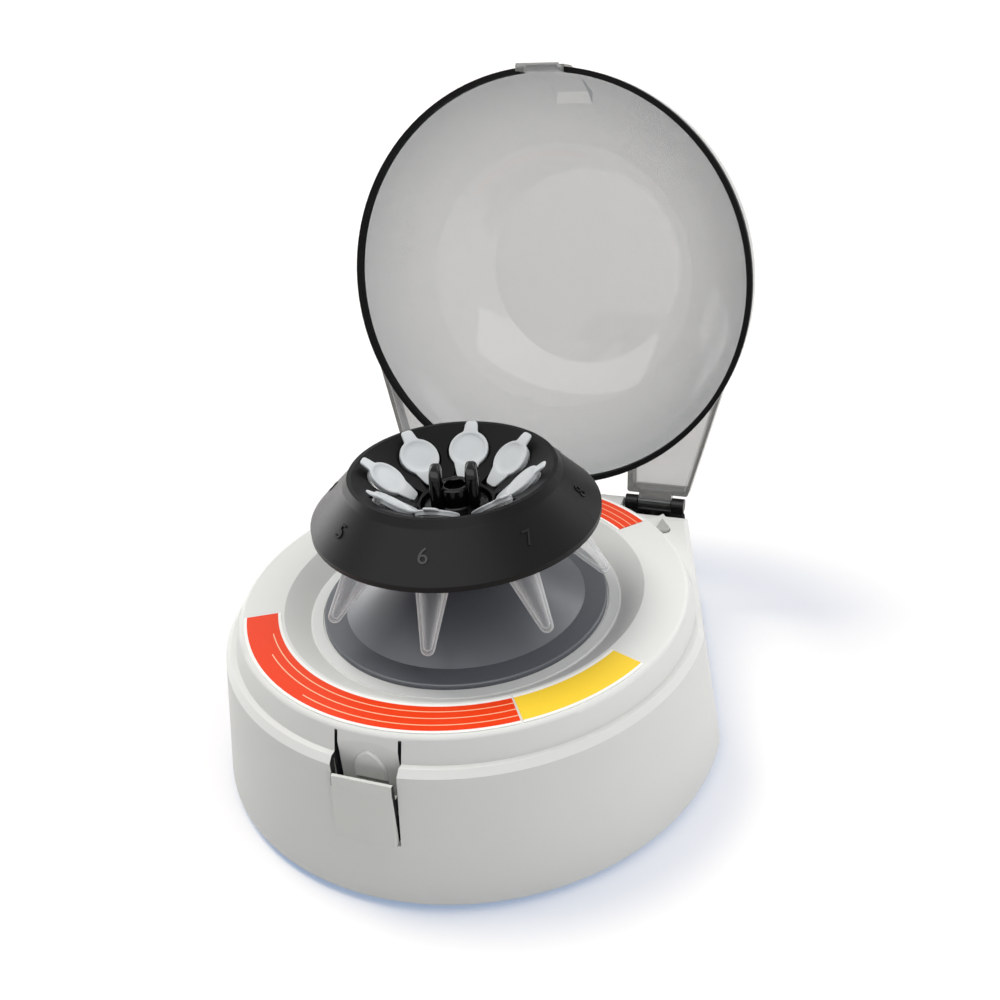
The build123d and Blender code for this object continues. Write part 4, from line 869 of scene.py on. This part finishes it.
@dataclass
class Rotor(Dressing):
    """Angle rotor with the place numbers 1 to 8 moulded on its slanted face."""

    rim_radius: float = 44.3
    rim_z: float = 80.2
    face_angle: float = 45.5
    numeral_radius: float = 38.4
    numeral_height: float = 4.6
    numeral_proud: float = 0.16
    digit_share: float = 0.7
    start: float = 9.1
    count: int = 8
    first_number: int = 6
    finishes: dict[str, Finish] = field(default_factory=lambda: {"rotor_body": ROTOR_NYLON})

    def numeral_outline(self, text: str) -> tuple[np.ndarray, list[tuple[int, ...]]]:
        """A digit's flat mesh with its middle at the origin.

        Args:
            text: the digit.

        Returns:
            Points in millimetres and the faces.
        """
        curve = bpy.data.curves.new("numeral_outline", "FONT")
        curve.body = text
        curve.align_x = "CENTER"
        curve.align_y = "CENTER"
        curve.size = self.numeral_height / self.digit_share
        curve.resolution_u = 6
        holder = add_object("numeral_outline", curve)
        bpy.context.view_layer.update()
        mesh = bpy.data.meshes.new_from_object(holder.evaluated_get(bpy.context.evaluated_depsgraph_get()))
        points = np.zeros(len(mesh.vertices) * 3)
        mesh.vertices.foreach_get("co", points)
        faces = [tuple(polygon.vertices) for polygon in mesh.polygons]
        bpy.data.objects.remove(holder)
        bpy.data.curves.remove(curve)
        bpy.data.meshes.remove(mesh)
        return points.reshape(-1, 3), faces

    def on_face(self, flat: np.ndarray, proud: float, azimuth: float) -> np.ndarray:
        """Wraps flat points onto the slanted face.

        A point (u, v) goes to radius R - v cos f and height z + v sin f, where f is the face's
        angle, then out along the face's normal by proud, and round the axis by u / R.

        Args:
            flat: rows of u and v in millimetres.
            proud: the height above the face.
            azimuth: degrees from the front towards +X.

        Returns:
            Rows of x, y, z.
        """
        slope = math.radians(self.face_angle)
        middle_z = self.rim_z + (self.rim_radius - self.numeral_radius) * math.tan(slope)
        radius = self.numeral_radius - flat[:, 1] * math.cos(slope) + proud * math.sin(slope)
        height = middle_z + flat[:, 1] * math.sin(slope) + proud * math.cos(slope)
        turn = math.radians(azimuth) + flat[:, 0] / self.numeral_radius
        return np.stack([radius * np.sin(turn), -radius * np.cos(turn), height], axis=-1)

    def build(self) -> None:
        """Dresses the rotor and adds the eight place numbers as thin raised plates."""
        self.dress()
        for index in range(self.count):
            number = (self.first_number - 1 + index) % self.count + 1
            flat, faces = self.numeral_outline(str(number))
            azimuth = self.start + 360 / self.count * index
            points = self.on_face(flat, self.numeral_proud, azimuth)
            mesh = bpy.data.meshes.new(f"place_number_{number}")
            mesh.from_pydata((points * MM).tolist(), [], faces)
            mend(mesh, 1e-6)
            mesh.materials.append(NUMERAL_NYLON.material())
            piece = add_object(f"place_number_{number}", mesh)
            thick = piece.modifiers.new("thickness", "SOLIDIFY")
            thick.thickness = self.numeral_proud * 2 * MM
            thick.offset = 0.0
            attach(piece, Motion.ROTOR.value)
            LOG.info("place_number_%d at %.0f degrees", number, azimuth)


@dataclass
class MicroTubes:
    """Closed 1.5 ml micro tubes: frosted flip caps on clear tapered bodies."""

    count: int = 8
    start: float = 9.1
    tilt: float = 39.0
    cap_radius_from_axis: float = 20.4
    cap_top_z: float = 89.6
    cap_radius: float = 6.4
    cap_thickness: float = 1.5
    collar_radius: float = 6.0
    collar_thickness: float = 1.1
    tube_radius: float = 5.35
    tube_wall: float = 0.9
    straight: float = 18.0
    length: float = 40.2
    tip_radius: float = 2.05
    tab_length: float = 3.4
    tab_width: float = 4.2
    strap_length: float = 4.0
    strap_width: float = 4.6
    leaf: float = 0.7
    dish: float = 0.35
    bore_rise: float = 1.3

    def place(self, points: np.ndarray, index: int) -> np.ndarray:
        """Carries points from the cap's own axes to a tube's place in the rotor.

        Args:
            points: rows of x, y, z; +Z out of the cap's top, -X towards the hub.
            index: the tube's number from 0.

        Returns:
            The placed points.
        """
        tipped = turned(points, -self.tilt, 1)
        carried = tipped + np.array([self.cap_radius_from_axis, 0.0, self.cap_top_z])
        return turned(carried, self.start + 360 / self.count * index - 90, 2)

    def leaf_outline(self, angle: np.ndarray) -> np.ndarray:
        """The cap's outline as a radius by angle: a disc, a tapering strap and a thumb tab.

        A straight-sided arm of half width w and reach a has the radius min(a / |cos t|, w / |sin t|)
        at angle t from its middle. The outline is the largest of the disc and the two arms, with
        the strap's half width shrinking along it.

        Args:
            angle: angles in radians from the tab's direction.

        Returns:
            The radius at each angle.
        """
        cosine = np.cos(angle)
        sine = np.abs(np.sin(angle)) + 1e-6
        tab_reach = self.cap_radius + self.tab_length
        tab = np.where(cosine > 0, np.minimum(tab_reach / np.maximum(cosine, 1e-3), self.tab_width / 2 / sine), 0)
        reach = self.cap_radius + self.strap_length
        root = self.cap_radius * 0.9
        tip = self.strap_width / 2
        along = np.maximum(-cosine, 1e-3)
        side = root / (sine + along * (root - tip) / reach)
        strap = np.where(cosine < 0, np.minimum(reach / along, side), 0)
        return np.maximum(self.cap_radius, np.maximum(tab, strap))

    def cap(self) -> tuple[np.ndarray, np.ndarray]:
        """The flip cap: rings of the outline, shrunk and set at the heights of a thin rimmed leaf.

        Returns:
            Points and faces, in the cap's own axes.
        """
        angle = np.linspace(0.0, 2 * math.pi, 128, endpoint=False)
        outline = self.leaf_outline(angle)
        kernel = np.array([0.1, 0.2, 0.4, 0.2, 0.1])
        padded = np.concatenate([outline[-2:], outline, outline[:2]])
        outline = np.convolve(padded, kernel, mode="valid")
        disc = np.minimum(outline, self.cap_radius)
        low = -self.leaf
        rings = [
            (disc * 0.0, -self.dish), (disc * 0.5, -self.dish), (disc * 0.76, -self.dish), (disc * 0.82, -0.12),
            (disc * 0.86, 0.0), (disc * 0.97, 0.0), (outline - 0.28, -0.04), (outline - 0.08, -0.12),
            (outline, -0.3), (outline, low + 0.2), (outline - 0.15, low), (disc * 0.99, low),
            (disc * 0.985, low - 0.1), (disc * 0.98, -self.cap_thickness), (disc * 0.0, -self.cap_thickness),
        ]
        radius = np.stack([ring for ring, _ in rings])
        height = np.array([level for _, level in rings])[:, None] + 0 * angle
        points = np.stack([radius * np.cos(angle), radius * np.sin(angle), height], axis=-1)
        return points.reshape(-1, 3), grid_faces(len(rings), len(angle), False, True)

    def body(self) -> tuple[np.ndarray, np.ndarray]:
        """The tube: a collar, a straight neck, a long taper and a round tip, with an even wall.

        Returns:
            Points and faces, in the cap's own axes.
        """
        neck = self.cap_thickness + self.collar_thickness
        top = -self.cap_thickness - 0.03
        inner = self.tube_radius - self.tube_wall
        bore = self.tip_radius - 0.75
        round_end = np.linspace(0.1, math.pi / 2, 7)[:, None]
        ball = np.concatenate([np.cos(round_end), -np.sin(round_end)], axis=1)
        collar = np.array(
            [(self.collar_radius, top), (self.collar_radius, -neck), (self.tube_radius, -neck),
             (self.tube_radius, -self.straight)]
        )
        outer = np.concatenate([collar, ball * self.tip_radius + (0.0, self.tip_radius - self.length)])
        pit = ball[::-1] * bore + (0.0, bore + self.bore_rise - self.length)
        hollow = np.concatenate([pit, np.array([(inner, -self.straight), (inner, top)])])
        profile = np.concatenate([outer, hollow])
        return lathe(profile, 48)

    def build(self) -> None:
        """Makes a cap and a body for each tube, in place of its plain solid."""
        cap_points, cap_faces = self.cap()
        body_points, body_faces = self.body()
        for index in range(self.count):
            name = f"tube_{index + 1}"
            body = make_piece(
                f"{name}_body", self.place(body_points, index), body_faces, TUBE_POLYPROPYLENE, Motion.ROTOR
            )
            cap = make_piece(f"{name}_cap", self.place(cap_points, index), cap_faces, CAP_POLYPROPYLENE, Motion.ROTOR)
            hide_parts(name)


@dataclass
class WingedNut:
    """Gloss black rotor nut: a round foot, a domed core and two upright rounded wings."""

    base_z: float = 78.59
    base_radius: float = 10.3
    base_height: float = 2.6
    core_radius: float = 5.2
    core_height: float = 9.5
    wing_offset: float = 5.4
    wing_thickness: float = 4.4
    wing_length: float = 10.0
    wing_height: float = 16.2
    turn: float = 20.0
    bore_radius: float = 3.06
    rounding: float = 0.9
    wing_sink: float = 0.4
    straight_share: float = 0.72

    def foot(self) -> tuple[np.ndarray, np.ndarray]:
        """Foot and core as one lathe, with rounded corners.

        Returns:
            Points and faces.
        """
        foot_top = self.base_z + self.base_height
        core_top = self.base_z + self.core_height
        corners = np.array(
            [(self.bore_radius, self.base_z), (self.base_radius, self.base_z), (self.base_radius, foot_top),
             (self.core_radius, foot_top + 0.5), (self.core_radius, core_top), (self.bore_radius, core_top)]
        )
        return lathe(rounded(corners, self.rounding), 72)

    def wing(self, side: float) -> tuple[np.ndarray, np.ndarray]:
        """One wing: stacked ovals (|x/b|^4 + |y/a|^4 = 1) that narrow to a round top.

        Args:
            side: 1 for the wing at +X and -1 for the one at -X.

        Returns:
            Points and faces.
        """
        below = np.linspace(0.02, self.straight_share, 12)
        over = 1 - (1 - self.straight_share) * (1 - np.sin(np.linspace(0.1, math.pi / 2, 10)))
        level = np.concatenate([[0.0], below, over])
        crown = np.clip((level - 0.6) / 0.4, 0.0, 1.0)
        half_length = self.wing_length / 2 * (1 - 0.12 * level) * np.sqrt(np.maximum(1 - crown**2.6, 0.0))
        half_thick = self.wing_thickness / 2 * (1 - 0.1 * level) * np.sqrt(np.maximum(1 - crown**5, 0.0))
        half_length[0] = 0.0
        half_thick[0] = 0.0
        angle = np.linspace(0.0, 2 * math.pi, 48, endpoint=False)
        cosine, sine = np.cos(angle), np.sin(angle)
        oval_x = np.sign(cosine) * np.abs(cosine) ** 0.5
        oval_y = np.sign(sine) * np.abs(sine) ** 0.5
        foot_z = self.base_z + self.wing_sink
        rise = self.wing_height - self.wing_sink
        points = np.stack(
            [side * self.wing_offset + half_thick[:, None] * oval_x, half_length[:, None] * oval_y,
             foot_z + rise * level[:, None] + 0 * oval_x],
            axis=-1,
        )
        return points.reshape(-1, 3), grid_faces(len(level), len(angle), False, True)

    def build(self) -> None:
        """Makes the nut in place of its plain solid."""
        points, faces = joined([self.foot(), self.wing(1.0), self.wing(-1.0)])
        nut = make_piece("winged_nut", turned(points, self.turn, 2), faces, NUT_ABS, Motion.NUT)
        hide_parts("rotor_nut")


@dataclass
class Studio:
    """White paper floor, soft lamps and the camera at the photograph's viewing angle."""

    azimuth: float = 19.73
    elevation: float = 27.11
    distance: float = 302.46
    target: tuple[float, float, float] = (27.96, 0.0, 98.87)
    roll: float = -3.76
    lens: float = 37.58
    shift: float = 0.04
    floor_half: float = 6000.0
    sky_strength: float = 0.3
    card_distance: float = 1.3
    card_centre: tuple[float, float, float] = (0.0, 0.13, 0.08)

    def camera(self) -> None:
        """Places the camera on its sphere round the target and rolls it about its own axis."""
        a, e, r = (math.radians(v) for v in (self.azimuth, self.elevation, self.roll))
        back = Vector((math.sin(a) * math.cos(e), -math.cos(a) * math.cos(e), math.sin(e)))
        level = Vector((math.cos(a), math.sin(a), 0.0))
        above = back.cross(level)
        right = level * math.cos(r) + above * math.sin(r)
        up = above * math.cos(r) - level * math.sin(r)
        turn = Matrix((right, up, back)).transposed().to_4x4()
        spot = (Vector(self.target) + back * self.distance) * MM
        data = bpy.data.cameras.new("studio_camera")
        data.lens = self.lens
        data.sensor_width = 36.0
        data.shift_x = -self.shift
        data.shift_y = -self.shift
        data.clip_start = 0.01
        made = add_object("studio_camera", data)
        made.matrix_world = Matrix.Translation(spot) @ turn
        bpy.context.scene.camera = made

    def sun(self, name: str, source: tuple[float, float, float], width: float, strength: float, colour: str) -> None:
        """Adds one wide, soft, even light.

        Args:
            name: the light's name.
            source: the direction it comes from.
            width: how many degrees wide it looks from the part.
            strength: its strength.
            colour: its colour as hex.
        """
        data = bpy.data.lights.new(name, "SUN")
        data.angle = math.radians(width)
        data.energy = strength
        data.color = linear(colour)[:3]
        made = add_object(name, data)
        made.matrix_world = Vector(source).to_track_quat("Z", "Y").to_matrix().to_4x4()
        made.visible_glossy = False

    def card(self, name: str, angles: tuple[float, float], size: tuple[float, float], strength: float) -> None:
        """Adds a soft box that only glossy surfaces mirror.

        Args:
            name: the light's name.
            angles: its direction from the part, as degrees from the front towards +X and degrees up.
            size: its width and height in metres.
            strength: its brightness, where 1 is paper white.
        """
        data = bpy.data.lights.new(name, "AREA")
        data.shape = "RECTANGLE"
        data.size, data.size_y = size
        data.energy = strength * math.pi * size[0] * size[1]
        made = add_object(name, data)
        a, e = (math.radians(v) for v in angles)
        out = Vector((math.sin(a) * math.cos(e), -math.cos(a) * math.cos(e), math.sin(e)))
        middle = Vector(self.card_centre) + out * self.card_distance
        made.matrix_world = Matrix.Translation(middle) @ out.to_track_quat("Z", "Y").to_matrix().to_4x4()
        made.visible_diffuse = False
        made.visible_camera = False

    def floor(self) -> None:
        """A large sheet of white paper under the feet."""
        half = self.floor_half
        points = np.array([(-half, -half, 0.0), (half, -half, 0.0), (half, half, 0.0), (-half, half, 0.0)])
        mesh = bpy.data.meshes.new("paper_floor")
        mesh.from_pydata((points * MM).tolist(), [], [(0, 1, 2, 3)])
        mesh.materials.append(PAPER.material())
        made = add_object("paper_floor", mesh)

    def world(self) -> None:
        """Even cool sky light, and plain white behind the object for camera, glossy and clear rays."""
        world = bpy.data.worlds.new("studio_world")
        bpy.context.scene.world = world
        world.use_nodes = True
        tree = world.node_tree
        tree.nodes.clear()
        sky = add_node(tree, "ShaderNodeBackground", {"Color": linear("#f4f6fb"), "Strength": self.sky_strength})
        plain = add_node(tree, "ShaderNodeBackground", {"Color": (1.0, 1.0, 1.0, 1.0), "Strength": 1.0})
        both = add_node(
            tree, "ShaderNodeMixShader", links={0: background_rays(tree), 1: sky.outputs[0], 2: plain.outputs[0]}
        )
        add_node(tree, "ShaderNodeOutputWorld", links={"Surface": both.outputs[0]})

    def build(self) -> None:
        """Sets up the camera, lamps, floor and world."""
        self.camera()
        self.floor()
        self.world()
        self.sun("key_light", (-0.55, 0.25, 1.0), 28.0, 1.9, "#fffefa")
        self.sun("top_light", (0.3, 0.6, 1.0), 90.0, 0.7, "#ffffff")
        self.sun("right_fill", (1.0, 0.1, 0.6), 80.0, 1.3, "#ffffff")
        self.card("mirror_card", (-6.0, 47.0), (2.4, 0.9), 2.2)
        self.card("side_card", (-106.0, 3.0), (1.0, 0.5), 4.5)
        self.card("back_card", (154.0, 34.0), (0.9, 0.5), 3.5)
        bpy.context.scene.view_settings.view_transform = "Standard"


def main() -> None:
    """Loads the frame, dresses and adds each sub-assembly in order, and sets up the studio."""
    logging.basicConfig(level=logging.INFO, format="%(message)s")
    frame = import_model()
    Studio().build()
    for assembly in (Housing, Bowl, Closure, Lid, Drive, Electrics):
        assembly(frame).dress()
    Rotor(frame).build()
    MicroTubes().build()
    WingedNut().build()


if __name__ == "__main__":
    main()
